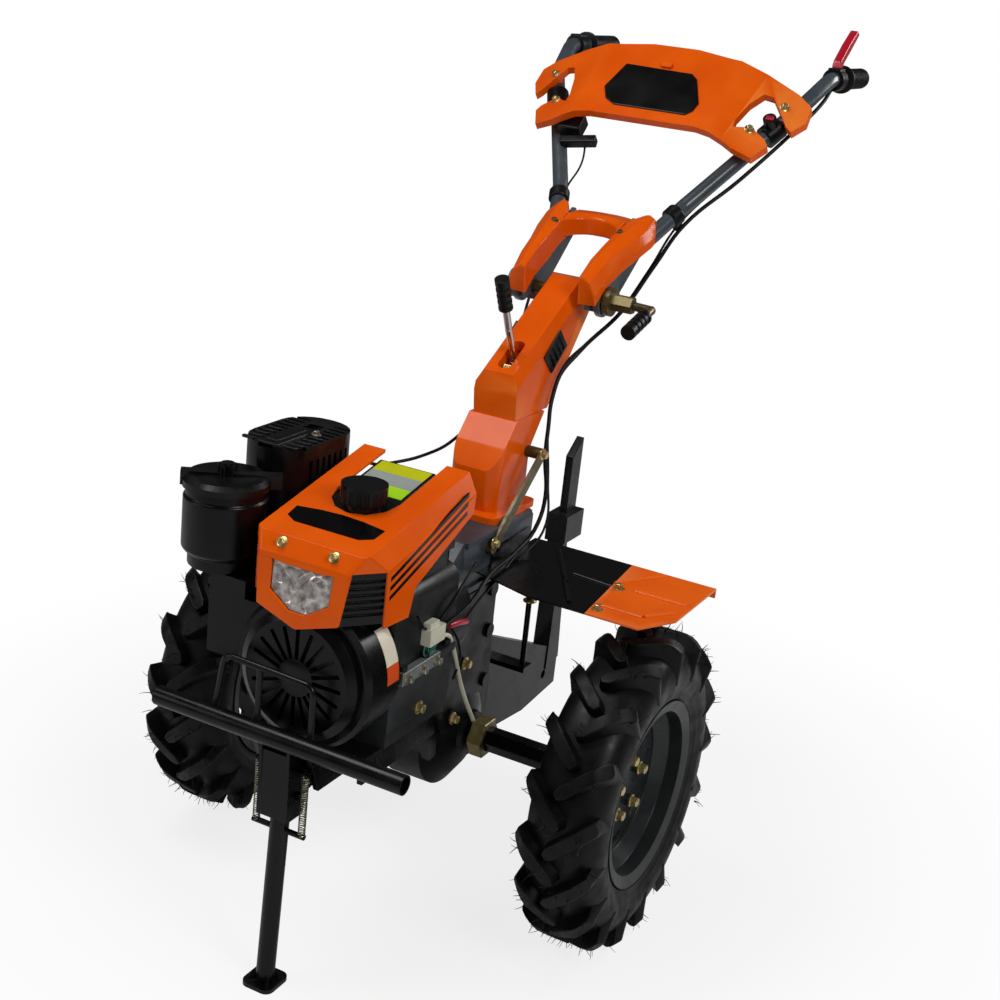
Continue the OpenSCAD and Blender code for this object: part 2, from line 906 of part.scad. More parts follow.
column_top = [[-102, seam_h + 68], [-300, seam_h + 188]];
column_slope = atan2(column_top[1][1] - column_top[0][1], column_top[0][0] - column_top[1][0]);
column_box = [
    [-102, seam_h], [-96, seam_h + 36], column_top[0], column_top[1],
    [-326, seam_h + 186], [-328, seam_h + 142], [-208, seam_h]
];
edge_w = 11;
edge_drop = 15;
slot_l = 62;
slot_deep = 22;
lever_slot_w = 22;
slot_start = 10;

// Puts its children on the column's sloping top, x up along it.
module on_column() {
    translate([column_top[0][0], 0, column_top[0][1]])
        rotate([0, 180 + column_slope, 0])
            mirror([0, 0, 1])
                children();
}

module column_upper() {
    color(orange)
        difference() {
            across(column_box, -column_hw, column_hw);
            both_sides()
                on_column()
                    along([[column_hw - 2 * edge_w, edge_drop], [column_hw + edge_w, edge_drop],
                        [column_hw + edge_w, -2 * edge_drop]], -30, 300);
            on_column()
                upward(round_rect([slot_start, -lever_slot_w / 2],
                    [slot_start + slot_l, lever_slot_w / 2], lever_slot_w / 2 - cut), -slot_deep, cut);
            bar_y(tilt_p, -column_hw - cut, column_hw + cut, pin_shaft_d);
        }
}

vent = moved([[-174, 85], [-219, 122], [-250, 93], [-205, 56]], [0, seam_h]);
vent_t = 3;
slat_count = 4;
slat_part = 0.28;
slat_in = 0.12;

// The outline of one slot across the vent, between two parts of its length.
function slat(a, b) = [
    between(between(vent[0], vent[1], a), between(vent[3], vent[2], a), slat_in),
    between(between(vent[0], vent[1], b), between(vent[3], vent[2], b), slat_in),
    between(between(vent[0], vent[1], b), between(vent[3], vent[2], b), 1 - slat_in),
    between(between(vent[0], vent[1], a), between(vent[3], vent[2], a), 1 - slat_in)
];

module column_vents() {
    color(black)
        both_sides()
            difference() {
                across(vent, column_hw, column_hw + vent_t);
                for (i = [1 : slat_count])
                    across(slat((i - slat_part) / (slat_count + 1), (i + slat_part) / (slat_count + 1)),
                        column_hw + cut, column_hw + vent_t + cut);
            }
}

lever_d = 11;
lever_foot = [45, 0, -slot_deep];
lever_foot_h = 8;
lever_a = [
    column_top[0][0] - lever_foot[0] * cos(column_slope) - (slot_deep - lever_foot_h) * sin(column_slope), 0,
    column_top[0][1] + lever_foot[0] * sin(column_slope) - (slot_deep - lever_foot_h) * cos(column_slope)
];
lever_b = [-102, 0, seam_h + 164];
lever_c = [-78, 0, seam_h + 212];
lever_bend = 0.7;
knob_d = 22;
ring_count = 5;

module gear_lever() {
    color(silver)
        union() {
            on_column()
                translate(lever_foot)
                    cylinder(d = lever_d + 6, h = lever_foot_h);
            bent_rod([lever_a, between(lever_b, lever_c, -lever_bend), lever_b], lever_d);
        }
}

// A round grip of length l with raised rings.
module ringed(l, d) {
    cylinder(d = d * 0.88, h = l);
    for (i = [0 : ring_count - 1])
        translate([0, 0, l * i / ring_count])
            cylinder(d = d, h = l / ring_count * 0.55);
    translate([0, 0, l * 0.9])
        cylinder(d = d, h = l * 0.1);
}

module gear_knob() {
    color(black)
        aim(lever_b, lever_c)
            ringed(norm(lever_c - lever_b), knob_d);
}

/* Handlebar lock */

pin_shaft_d = 20;
pin_play = 0.4;
yoke_y = column_hw + 14;
yoke_t = 8;
shell_t = 14;
shell_y = yoke_y + yoke_t;
boss_y = shell_y + shell_t + 6;
lock_boss_d = 46;
lock_boss_w = 10;
stud_y = boss_y + 44;
arm_end_y = stud_y + 28;
lock_af = 24;
crank_d = 14;
crank_a = [tilt_p[0] - 4, arm_end_y, tilt_p[1] - 2];
crank_c = [tilt_p[0] + 78, arm_end_y, tilt_p[1] - 25];
crank_b = between(crank_a, crank_c, 0.27);

module tilt_pin() {
    color(zinc)
        union() {
            bar_y(tilt_p, -boss_y - lock_boss_w, stud_y, pin_shaft_d);
            both_sides()
                bar_y(tilt_p, boss_y, boss_y + lock_boss_w, lock_boss_d);
            hex_y(tilt_p, boss_y, stud_y, lock_af);
            rod([tilt_p[0], stud_y - cut, tilt_p[1]], crank_a, crank_d);
            translate(crank_a)
                sphere(d = crank_d + ball_extra);
            rod(crank_a, crank_b, crank_d);
        }
}

module lock_crank_grip() {
    color(black)
        aim(crank_b, crank_c)
            ringed(norm(crank_c - crank_b), knob_d + 2);
}

/* Handlebar */

bar_root = [-412, shell_y, 714];
bar_a = [-412, shell_y + 24, 714];
bar_b = [-476, shell_y + 53, 766];
bar_c = [-646, grip_y - 19, 930];
bar_knee = [-730, grip_y, grip_h];
bar_e = [grip_x + 4, grip_y, grip_h];
bar_pts = [bar_root, bar_a, bar_b, bar_c, bar_knee, bar_e];
cheek = [
    tilt_p + [24, -16], tilt_p + [24, 28], [-416, 744], [-434, 714], tilt_p + [-20, -26]
];
bridge = [[-436, 706], [-408, 734]];

module yoke() {
    color(slate)
        difference() {
            union() {
                both_sides()
                    across(cheek, yoke_y, yoke_y + yoke_t);
                box([bridge[0][0], -yoke_y - cut, bridge[0][1]], [bridge[1][0], yoke_y + cut, bridge[1][1]]);
            }
            bar_y(tilt_p, -shell_y - cut, shell_y + cut, pin_shaft_d + 2 * pin_play);
        }
}

shell = concat(
    [[-246, 674], [-276, 694], [-330, 712], [-424, 754], [-446, 718], [-427, 688]],
    [[-356, 624], [-320, 600], [-288, 597], [-258, 612], [-244, 640]]
);
shell_rib = [[-346, 706], [-424, 754], [-446, 718], [-427, 688], [-372, 642], [-352, 668]];
rib_t = 14;
arch = [[-352, 698], [-344, 712], [-396, 736], [-402, 722]];
pin_room = 12;
skin_t = 3;
arch_r = 36;
arch_p = [-348, 0, 705];
arch_tilt = 24.8;

module yoke_covers() {
    color(orange)
        union() {
            both_sides()
                difference() {
                    union() {
                        across(shell, yoke_y - skin_t, shell_y + shell_t);
                        across(shell_rib, shell_y + shell_t - cut, shell_y + shell_t + rib_t);
                    }
                    across(cheek, yoke_y, shell_y);
                    box([bridge[0][0], 0, bridge[0][1]], [bridge[1][0], yoke_y + cut, bridge[1][1]]);
                    bar_y(tilt_p, yoke_y - skin_t - cut, boss_y, pin_shaft_d + pin_room);
                    bent_rod(bar_pts, bar_d);
                }
            difference() {
                across(arch, -yoke_y + cut, yoke_y - cut);
                translate(arch_p)
                    rotate([0, arch_tilt, 0])
                        cylinder(r = arch_r, h = 2 * arch_r, center = true);
            }
        }
}

module handle_tubes() {
    color(slate)
        both_sides()
            bent_rod(bar_pts, bar_d);
}

dash_x = -594;
dash_part = (bar_b[0] - dash_x) / (bar_b[0] - bar_c[0]);
dash_tilt = 90 - atan2(bar_b[0] - bar_c[0], bar_c[2] - bar_b[2]);
dash_k = bar_c[1] / 222;

// Puts its children on the plane of the handlebar's tubes.
module in_dash() {
    translate([dash_x, 0, between(bar_b[2], bar_c[2], dash_part)])
        rotate([0, dash_tilt, 0])
            children();
}

// An outline mirrored about x, its y sizes following the handlebar's width.
function both_halves(half) = concat(
    [for (p = half) [p[0], p[1] * dash_k]],
    [for (i = [len(half) - 1 : -1 : 0]) [half[i][0], -half[i][1] * dash_k]]
);
dash_crown = bar_d / 2 + 49;
dash_flat = 120;
dash_end = 270;
dash_fall = 0.41;
dash_t = 4;
dash_wall = 14;
dash_out = both_halves([
    [-113, 40], [-103, 103], [-97, 165], [-84, 221], [-70, 245], [-37, 247], [-8, 232],
    [-14, 222], [-38, 204], [-59, 187], [-57, 172], [-27, 158], [11, 149], [27, 150],
    [14, 176], [26, 202], [36, 209], [70, 193], [67, 161], [60, 141], [50, 94], [50, 27]
]);
dash_in = both_halves([
    [-107, 40], [-97, 100], [-91, 148], [-66, 158], [-34, 146], [8, 138], [28, 138],
    [54, 134], [44, 94], [44, 27]
]);
dash_nub = [[-72, -9], [-63, 9]];
nub_h = 5;
dash_boss = [[-49, 208], [19, 174]];
dash_boss_d = 17;

// Height of the dash above the tubes' plane at a width.
function dash_h(y) = dash_crown - max(0, y - dash_flat * dash_k) * dash_fall;

// The dash's arched section, d thick.
function dash_roof(d) = [
    [-dash_end, dash_h(dash_end)], [-dash_flat * dash_k, dash_crown],
    [dash_flat * dash_k, dash_crown], [dash_end, dash_h(dash_end)],
    [dash_end, dash_h(dash_end) - d], [dash_flat * dash_k, dash_crown - d],
    [-dash_flat * dash_k, dash_crown - d], [-dash_end, dash_h(dash_end) - d]
];

module dash_panel() {
    color(orange)
        difference() {
            in_dash()
                union() {
                    intersection() {
                        upward(dash_out, -dash_wall, dash_crown + cut);
                        along(dash_roof(dash_t), -dash_end, dash_end);
                    }
                    intersection() {
                        difference() {
                            upward(dash_out, -dash_wall, dash_crown + cut);
                            upward(dash_in, -dash_wall - cut, dash_crown + 2 * cut);
                        }
                        along(dash_roof(dash_wall), -dash_end, dash_end);
                    }
                    box([dash_nub[0][0], dash_nub[0][1], dash_crown - cut],
                        [dash_nub[1][0], dash_nub[1][1], dash_crown + nub_h]);
                    both_sides()
                        for (p = dash_boss)
                            translate([p[0], p[1] * dash_k, 0])
                                cylinder(d = dash_boss_d, h = dash_h(p[1] * dash_k) - dash_t);
                }
            both_sides()
                bent_rod(bar_pts, bar_d);
        }
}

plate_at = [
    [-60, -70], [-57, 50], [-47, 62], [2, 84], [20, 80], [30, 70], [30, -57], [19, -76], [-5, -88]
];
plate_h = 3;

module dash_plate() {
    color(black)
        in_dash()
            upward([for (p = plate_at) [p[0], p[1] * dash_k]], dash_crown, dash_crown + plate_h);
}

grip_flange_d = grip_d + 12;
grip_flange_t = 5;
grip_end = 4;

module grips() {
    color(black)
        both_sides()
            difference() {
                union() {
                    bar_x([grip_y, grip_h], grip_x, grip_x + grip_l, grip_d);
                    bar_x([grip_y, grip_h], grip_x + grip_l - grip_flange_t, grip_x + grip_l,
                        grip_flange_d);
                }
                bar_x([grip_y, grip_h], grip_x + grip_end, grip_x + grip_l + cut, bar_d);
            }
}

perch_x = -757;
perch_w = 28;
perch_d = bar_d + 12;
perch_top = grip_h + bar_d / 2 + 6;
perch_hw = 11;
block_at = [0.7, 0.82];
block_d = bar_d + 12;

module lever_perches() {
    color(black) {
        both_sides()
            difference() {
                union() {
                    bar_x([grip_y, grip_h], perch_x - perch_w / 2, perch_x + perch_w / 2, perch_d);
                    box([perch_x - perch_w / 2, grip_y - perch_hw, grip_h],
                        [perch_x + perch_w / 2, grip_y + perch_hw, perch_top]);
                }
                bar_x([grip_y, grip_h], perch_x - perch_w, perch_x + perch_w, bar_d);
            }
        mirror([0, 1, 0])
            difference() {
                rod(between(bar_b, bar_c, block_at[0]), between(bar_b, bar_c, block_at[1]), block_d);
                rod(bar_b, bar_c, bar_d);
            }
    }
}

blade = concat(
    [[perch_x - 10, perch_top], [perch_x + 10, perch_top], [perch_x + 6, perch_top + 12]],
    [[perch_x - 28, perch_top + 38], [perch_x - 66, perch_top + 62], [perch_x - 80, perch_top + 56]],
    [[perch_x - 40, perch_top + 26], [perch_x - 14, perch_top + 8]]
);
blade_hw = 7;

module clutch_lever() {
    color(red)
        across(blade, grip_y - blade_hw, grip_y + blade_hw);
}

button_d = 22;
button_h = 12;
switch_mid = between(bar_b, bar_c, (block_at[0] + block_at[1]) / 2);

module engine_switch() {
    color(red)
        union() {
            difference() {
                rod(between(bar_b, bar_c, block_at[0]), between(bar_b, bar_c, block_at[1]), block_d);
                rod(bar_b, bar_c, bar_d);
            }
            translate(switch_mid)
                rotate([0, dash_tilt, 0])
                    translate([0, 0, bar_d / 2 + 2])
                        cylinder(d = button_d, h = block_d / 2 - bar_d / 2 + button_h);
        }
}

wire_d = 7;
hang = (block_d + wire_d) * 0.72 + 1;
drop = [0, 0, hang];

module cables_upper() {
    color(black)
        bent_rod([
            [perch_x + perch_w / 2, grip_y, grip_h - (bar_d + wire_d) / 2 - cut], bar_knee - drop,
            bar_c - drop, bar_b - drop, [-400, shell_y + shell_t + rib_t + 12, 686],
            [-330, shell_y + shell_t + rib_t + 8, 612]
        ], wire_d);
}

loom_d = 8;
stem_side = stem_hw + 12;
deck_side = deck_hw + deck_lip + 8;
plug_x = [190, 230];
plug_z = [crank_h + 20, crank_h + 44];
plug_w = 16;

module cables_lower() {
    color(black)
        bent_rod([
            [-227, column_hw + 26, seam_h + 106], [-193, column_hw + 26, seam_h + 74],
            [-182, stem_side, seam_h - 6], [-168, stem_side, seam_h - 54],
            [-160, deck_side, deck_top + 20], [-140, deck_side, deck_top - 20],
            [-60, deck_side + 6, deck_top - 46], [28, deck_side + 14, deck_top - 50],
            [112, block_hw + 8, crank_h + 44], [plug_x[0] - cut, block_hw + 8, crank_h + 32]
        ], loom_d);
}

/* Fenders, hitch, links */

fender_h = crown_r + fender_gap;
fender_x = [-170, 52];
split_y = [wheel_y - 93, wheel_y - 69];
rim_y = wheel_y + 44;
front_cut = 90;
toe = 32;
bracket_t = 3;
bracket_x = [-140, -20];
bracket_h = [-8, 30];
rib_d = 8;
lip_t = 3;
fender_lip = 12;
inner_ribs = [
    [[-36, -141], [-147, -207]], [[32, -103], [-34, -142]], [[-67, -83], [-73, -145]]
];
outer_ribs = [
    [[-80, -82], [-162, -34]], [[-73, -46], [-73, 33]], [[11, -62], [11, 1]], [[8, 3], [-33, 30]]
];

// A pressed bead on the fender between two plan points from the wheel's middle.
module bead(ends) {
    rod([ends[0][0], wheel_y + ends[0][1], fender_h + fender_t - rib_d * 0.1],
        [ends[1][0], wheel_y + ends[1][1], fender_h + fender_t - rib_d * 0.1], rib_d);
}

module fenders_inner() {
    color(black)
        both_sides()
            union() {
                upward([[fender_x[0], deck_hw], [fender_x[0], split_y[0]],
                    [fender_x[1], split_y[1]], [fender_x[1], split_y[1] - front_cut],
                    [fender_x[1] - toe, deck_hw]], fender_h, fender_h + fender_t);
                box([bracket_x[0], deck_hw, fender_h + bracket_h[0]],
                    [bracket_x[1], deck_hw + bracket_t, fender_h + bracket_h[1]]);
                box([fender_x[0], deck_hw + fender_lip, fender_h - fender_lip],
                    [fender_x[0] + lip_t, split_y[0], fender_h + cut]);
                for (r = inner_ribs)
                    bead(r);
            }
}

module fenders_outer() {
    color(orange)
        both_sides()
            union() {
                upward([[fender_x[0], split_y[0]], [fender_x[0], rim_y], [-10, rim_y],
                    [fender_x[1], wheel_y + 12], [fender_x[1], split_y[1]]],
                    fender_h, fender_h + fender_t);
                box([fender_x[0], split_y[0], fender_h - fender_lip],
                    [fender_x[0] + lip_t, rim_y, fender_h + cut]);
                for (r = outer_ribs)
                    bead(r);
            }
}

bar_w = 36;
bar_t = 14;
drag_x = -418;
pin_p = [-372, -56];
drawbar = [
    [-70, -38], [-70, 102], [-150, 92], [drag_x - 4, -24], [drag_x - 4, -88],
    [-300, -98], [-150, -82]
];
post = [[-384, 190], [-384, 230], [-396, 230], [drag_x - 4, -38], [-376, -48]];
post_hw = draw_hw + 2;
holder = [[drag_x - 28, 186], [-380, 234]];
strut_d = 9;
strut_x = -160;
strut_y = deck_hw + 8;
lug_z = [48, 56];

module hitch() {
    color(black)
        difference() {
            union() {
                across(drawbar, -draw_hw, draw_hw);
                across(post, -post_hw, post_hw);
                box([holder[0][0], -post_hw - 4, holder[0][1]], [holder[1][0], post_hw + 4, holder[1][1]]);
                both_sides() {
                    box([strut_x - 14, 0, lug_z[0]], [strut_x + 14, strut_y + 10, lug_z[1]]);
                    rod([strut_x, strut_y, lug_z[0]], [strut_x + 4, strut_y, fender_h], strut_d);
                }
            }
            box([drag_x - bar_w / 2, -bar_t / 2, -38], [drag_x + bar_w / 2, bar_t / 2, 460]);
            bar_y(pin_p, -draw_hw - cut, draw_hw + cut, pin_d);
            gearbox_solid();
        }
}

module drag_bar() {
    color(black)
        across([[drag_x - bar_w / 2, 182], [drag_x - bar_w / 2, 362],
            [drag_x + bar_w / 2, 334], [drag_x + bar_w / 2, 182]], -bar_t / 2, bar_t / 2);
}

link_t = 5;
link_a = [-143, deck_top + 88];
link_b = [-8, deck_top - 26];
link_d = 18;

module shift_link() {
    color(zinc)
        union() {
            across([link_a + [-6, -6], link_a + [6, 6], link_b + [6, 6], link_b + [-6, -6]],
                deck_hw + deck_lip, deck_hw + deck_lip + link_t);
            bar_y(link_a, stem_hw, deck_hw + deck_lip + link_t, link_d);
            bar_y(link_b, deck_hw, deck_hw + deck_lip + link_t, link_d);
        }
}

module connectors() {
    color(cream)
        union() {
            box([plug_x[0], block_hw, plug_z[0]], [plug_x[1], block_hw + plug_w, plug_z[1]]);
            box([plug_x[0] + 12, block_hw, plug_z[1] - cut],
                [plug_x[1] - 4, block_hw + plug_w - 4, plug_z[1] + 8]);
        }
}

placed() gearbox_case();
placed() gearbox_deck();
placed() engine_block();
placed() blower_housing();
placed() fuel_tank();
placed() fuel_cap();
placed() hood();
placed() headlight();
placed() hood_grilles();
placed() air_cleaner();
placed() air_cleaner_lid();
placed() muffler_guard();
placed() front_frame();
placed() stand_leg();
placed() stand_springs();
placed() column_lower();
placed() column_upper();
placed() column_vents();
placed() gear_lever();
placed() gear_knob();
placed() tilt_pin();
placed() lock_crank_grip();
placed() yoke();
placed() yoke_covers();
placed() handle_tubes();
placed() dash_panel();
placed() dash_plate();
placed() grips();
placed() clutch_lever();
placed() lever_perches();
placed() engine_switch();
placed() cables_upper();
placed() cables_lower();
placed() fenders_inner();
placed() fenders_outer();
placed() hitch();
placed() drag_bar();
placed() shift_link();
placed() connectors();
placed() tyre_left();
placed() rim_left();
placed() hub_left();
placed() tyre_right();
placed() rim_right();
placed() hub_right();
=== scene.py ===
"""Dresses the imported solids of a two-wheel power tiller: camera, light, finishes and fine pieces.

Sizes are in millimetres. Places are given ahead of the wheels' axle, to the machine's left
and above the floor, and at() turns them into Blender's metres.
"""

import logging
import math
import random
from collections.abc import Callable, Iterator, Sequence
from contextlib import contextmanager
from dataclasses import dataclass
from enum import Enum

import bmesh
import bpy
from mathutils import Matrix, Vector
from mathutils.bvhtree import BVHTree


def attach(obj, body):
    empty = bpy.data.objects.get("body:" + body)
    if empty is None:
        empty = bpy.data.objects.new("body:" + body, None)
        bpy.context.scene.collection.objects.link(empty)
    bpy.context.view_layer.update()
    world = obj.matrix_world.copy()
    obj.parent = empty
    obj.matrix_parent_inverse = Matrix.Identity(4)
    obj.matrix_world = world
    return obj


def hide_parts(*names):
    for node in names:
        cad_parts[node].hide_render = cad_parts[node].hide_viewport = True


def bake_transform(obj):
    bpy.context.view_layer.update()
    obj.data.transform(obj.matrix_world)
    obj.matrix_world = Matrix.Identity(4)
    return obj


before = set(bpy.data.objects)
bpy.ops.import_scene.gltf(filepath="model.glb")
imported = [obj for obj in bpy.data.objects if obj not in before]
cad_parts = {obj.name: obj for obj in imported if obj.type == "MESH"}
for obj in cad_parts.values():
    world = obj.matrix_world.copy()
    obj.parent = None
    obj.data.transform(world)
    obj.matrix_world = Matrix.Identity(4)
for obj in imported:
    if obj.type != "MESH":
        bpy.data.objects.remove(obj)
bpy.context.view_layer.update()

logging.basicConfig(level=logging.INFO, format="%(message)s")
log = logging.getLogger("tiller")

AXLE_X = 238.25
MM = 0.001
UP = Vector((0, 0, 1))
LEFT = Vector((0, 1, 0))
AHEAD = Vector((1, 0, 0))
SIDES = (1, -1)


class Body(Enum):
    """The parts of the machine that move as one."""

    MACHINE = "machine"
    WHEEL_LEFT = "wheel_left"
    WHEEL_RIGHT = "wheel_right"
    STAND = "stand"
    HANDLEBAR = "handlebar"


class Run(Enum):
    """How a tube goes through its points."""

    BENT = "straight runs with rounded corners"
    LOOSE = "one smooth curve"


def at(x: float, y: float, z: float) -> Vector:
    """Gives the point in metres for millimetres ahead of the axle, to the left and above the floor."""
    return Vector((x + AXLE_X, y, z)) * MM


def linear(code: str) -> tuple[float, float, float, float]:
    """Turns an sRGB hex colour into linear light.

    Args:
        code: Six hex digits after a hash sign.

    Returns:
        Red, green, blue and full alpha.
    """
    parts = [int(code[i : i + 2], 16) / 255 for i in (1, 3, 5)]
    red, green, blue = (p / 12.92 if p <= 0.04045 else ((p + 0.055) / 1.055) ** 2.4 for p in parts)
    return red, green, blue, 1.0


def add_node(tree: bpy.types.NodeTree, kind: str, sockets: dict | None = None, **settings) -> bpy.types.Node:
    """Adds a node with its settings, values and links.

    Args:
        tree: The tree that gets the node.
        kind: Blender's name for the node type.
        sockets: Input name or index to a value, or to the output it is linked from.
        **settings: Properties of the node itself.

    Returns:
        The new node.
    """
    node = tree.nodes.new(kind)
    for key, value in settings.items():
        setattr(node, key, value)
    for key, value in (sockets or {}).items():
        if isinstance(value, bpy.types.NodeSocket):
            tree.links.new(value, node.inputs[key])
        else:
            node.inputs[key].default_value = value
    return node


@dataclass(frozen=True)
class Finish:
    """A surface as the eye meets it: colour, drift of the colour, gloss, grain and edges lightened partly as
    wear and partly as painted highlight.
    """

    name: str
    base: str
    shade: str
    rough: float
    spread: float
    slot: str
    metallic: float = 0.0
    coat: float = 0.0
    drift_mm: float = 90.0
    grain_mm: float = 1.6
    depth_mm: float = 0.02
    # Colour mixed onto convex edges: partly rubbed wear, partly a painted highlight along the edges.
    wear_and_highlight: str = ""
    specular: float = 0.5

    def material(self) -> bpy.types.Material:
        """Builds the material once and gives it back after that."""
        found = bpy.data.materials.get(self.name)
        if found:
            return found
        material = bpy.data.materials.new(self.name)
        material.use_nodes = True
        tree = material.node_tree
        tree.nodes.clear()
        place = add_node(tree, "ShaderNodeTexCoord").outputs["Object"]
        drift = add_node(
            tree, "ShaderNodeTexNoise", {"Vector": place, "Scale": 1000 / self.drift_mm, "Detail": 5.0}
        )
        level = add_node(
            tree, "ShaderNodeMapRange", {"Value": drift.outputs["Fac"], "From Min": 0.36, "From Max": 0.66}
        )
        colour = add_node(
            tree,
            "ShaderNodeMix",
            {0: level.outputs[0], 6: linear(self.base), 7: linear(self.shade)},
            data_type="RGBA",
        ).outputs[2]
        smear = add_node(
            tree, "ShaderNodeTexNoise", {"Vector": place, "Scale": 2400 / self.drift_mm, "Detail": 6.0}
        )
        gloss = add_node(
            tree,
            "ShaderNodeMapRange",
            {
                "Value": smear.outputs["Fac"],
                "From Min": 0.3,
                "From Max": 0.7,
                "To Min": max(self.rough - self.spread, 0.02),
                "To Max": self.rough + self.spread,
            },
        ).outputs[0]
        grain = add_node(
            tree, "ShaderNodeTexNoise", {"Vector": place, "Scale": 1000 / self.grain_mm, "Detail": 2.0}
        )
        bump = add_node(
            tree,
            "ShaderNodeBump",
            {"Height": grain.outputs["Fac"], "Strength": 1.0, "Distance": self.depth_mm * MM},
        )
        # Convex edges, found by pointiness, take a lighter colour in patches: partly rubbed wear, partly a
        # painted edge highlight.
        if self.wear_and_highlight:
            edge = add_node(tree, "ShaderNodeNewGeometry").outputs["Pointiness"]
            rub_and_highlight = add_node(tree, "ShaderNodeMapRange", {"Value": edge, "From Min": 0.53, "From Max": 0.64})
            rub_and_highlight_patch = add_node(
                tree, "ShaderNodeMath", {0: rub_and_highlight.outputs[0], 1: smear.outputs["Fac"]}, operation="MULTIPLY"
            )
            colour = add_node(
                tree,
                "ShaderNodeMix",
                {0: rub_and_highlight_patch.outputs[0], 6: colour, 7: linear(self.wear_and_highlight)},
                data_type="RGBA",
            ).outputs[2]
        shader = add_node(
            tree,
            "ShaderNodeBsdfPrincipled",
            {
                "Base Color": colour,
                "Roughness": gloss,
                "Normal": bump.outputs["Normal"],
                "Metallic": self.metallic,
                "Coat Weight": self.coat,
                "Coat Roughness": 0.08,
                "Specular IOR Level": self.specular,
            },
        )
        add_node(tree, "ShaderNodeOutputMaterial", {"Surface": shader.outputs["BSDF"]})
        return material


# Injection moulded ABS, moulded in colour: deep even orange, a quiet gloss and soft smears.
ORANGE_ABS = Finish(
    "orange_abs_gloss", "#E45A05", "#D85003", 0.2, 0.05, "orange_plastic", coat=0.1, wear_and_highlight="#F08838",
    specular=0.14,
)
# Enamelled sheet steel: the same orange a little harder, with a fine orange peel.
ORANGE_ENAMEL = Finish(
    "orange_enamel_steel", "#E96108", "#DC5605", 0.24, 0.08, "orange_steel", coat=0.1, grain_mm=2.5,
    wear_and_highlight="#F09A5C", specular=0.16,
)
# Moulded polypropylene: near black with a fine leather grain that breaks up the light.
BLACK_MOULDED = Finish(
    "black_moulded_pp", "#050506", "#0A0A0B", 0.3, 0.1, "black_plastic", grain_mm=1.1, depth_mm=0.03,
    wear_and_highlight="#1E1E20", specular=0.24,
)
# Powder coated steel: black, half gloss, with a shallow pebble.
BLACK_POWDER = Finish(
    "black_powder_coat", "#040405", "#070708", 0.26, 0.08, "black_steel", grain_mm=1.8, depth_mm=0.03,
    wear_and_highlight="#26262A", specular=0.24,
)
# Sand cast iron painted black: a coarse skin under the paint and edges lightened, partly as rubbed paint and
# partly as painted highlight.
BLACK_CAST = Finish(
    "black_painted_casting", "#050506", "#0B0B0C", 0.38, 0.12, "cast_black", grain_mm=3.2,
    depth_mm=0.12, wear_and_highlight="#28282C", specular=0.22,
)
# Engine castings under heat proof paint: charcoal, dull, with a coarse skin.
CHARCOAL_CAST = Finish(
    "charcoal_engine_casting", "#121314", "#1F2122", 0.44, 0.12, "cast_aluminium", grain_mm=2.8,
    depth_mm=0.1, wear_and_highlight="#4A4C4E", specular=0.25,
)
# Die cast aluminium case painted slate: blue grey, half dull.
SLATE_CAST = Finish(
    "slate_painted_casting", "#22282E", "#30373E", 0.36, 0.12, "cast_slate", grain_mm=2.6,
    depth_mm=0.1, wear_and_highlight="#5C646C", specular=0.3,
)
# Bare machined aluminium: pale grey, dull and slightly mottled.
RAW_ALUMINIUM = Finish(
    "raw_cast_aluminium", "#A2A4A4", "#7C7E7E", 0.44, 0.12, "cast_aluminium", metallic=0.6,
    grain_mm=2.2, depth_mm=0.06,
)
# Slate enamel over steel tube: smooth, half gloss.
SLATE_TUBE = Finish(
    "slate_enamel_tube", "#434B51", "#363D43", 0.27, 0.07, "slate_steel", coat=0.25, wear_and_highlight="#737B82",
)
# Dark grey enamel on the wheel's pressed disc: even, half dull.
GREY_RIM = Finish(
    "grey_enamel_rim", "#232627", "#1A1C1D", 0.34, 0.1, "slate_steel", wear_and_highlight="#4C4F50", specular=0.28,
)
# Yellow chromate over zinc: gold with green and brown tints.
YELLOW_ZINC = Finish(
    "yellow_zinc_plate", "#D2BE86", "#A8935C", 0.26, 0.12, "zinc_steel", metallic=0.75, drift_mm=14,
    depth_mm=0.01,
)
# Olive chromate over zinc on larger steel: brown green and dull.
OLIVE_ZINC = Finish(
    "olive_zinc_plate", "#564B2A", "#3E361F", 0.36, 0.12, "zinc_steel", metallic=0.4, drift_mm=24,
    depth_mm=0.02, wear_and_highlight="#A8965C",
)
# Clear zinc on springs and small steel: pale, warm grey.
CLEAR_ZINC = Finish(
    "clear_zinc_plate", "#BDB9A8", "#99947F", 0.3, 0.1, "zinc_steel", metallic=0.8, drift_mm=18,
    depth_mm=0.01,
)
# Bright chromium on the gear lever: a clean mirror.
CHROME = Finish("bright_chrome", "#C8C9CB", "#B4B5B8", 0.1, 0.04, "chrome", metallic=1.0, depth_mm=0.004)
# Moulded lamp glass over its reflector: pale, wet and broken into facets, its pale colour and dark patches a
# painted reflection of the reflector.
LAMP_GLASS_PAINTED_REFLECTIONS = Finish(
    "lamp_glass_painted_reflections", "#CFC9C4", "#7E7672", 0.12, 0.06, "lamp_glass", metallic=0.45, coat=1.0,
    drift_mm=10, depth_mm=0.004,
)
# Moulded soft PVC of grips and cable sleeves: dead black with a dry sheen.
SOFT_BLACK = Finish(
    "soft_black_pvc", "#060607", "#0B0B0C", 0.44, 0.1, "black_rubber", grain_mm=0.9, depth_mm=0.03,
    specular=0.25,
)
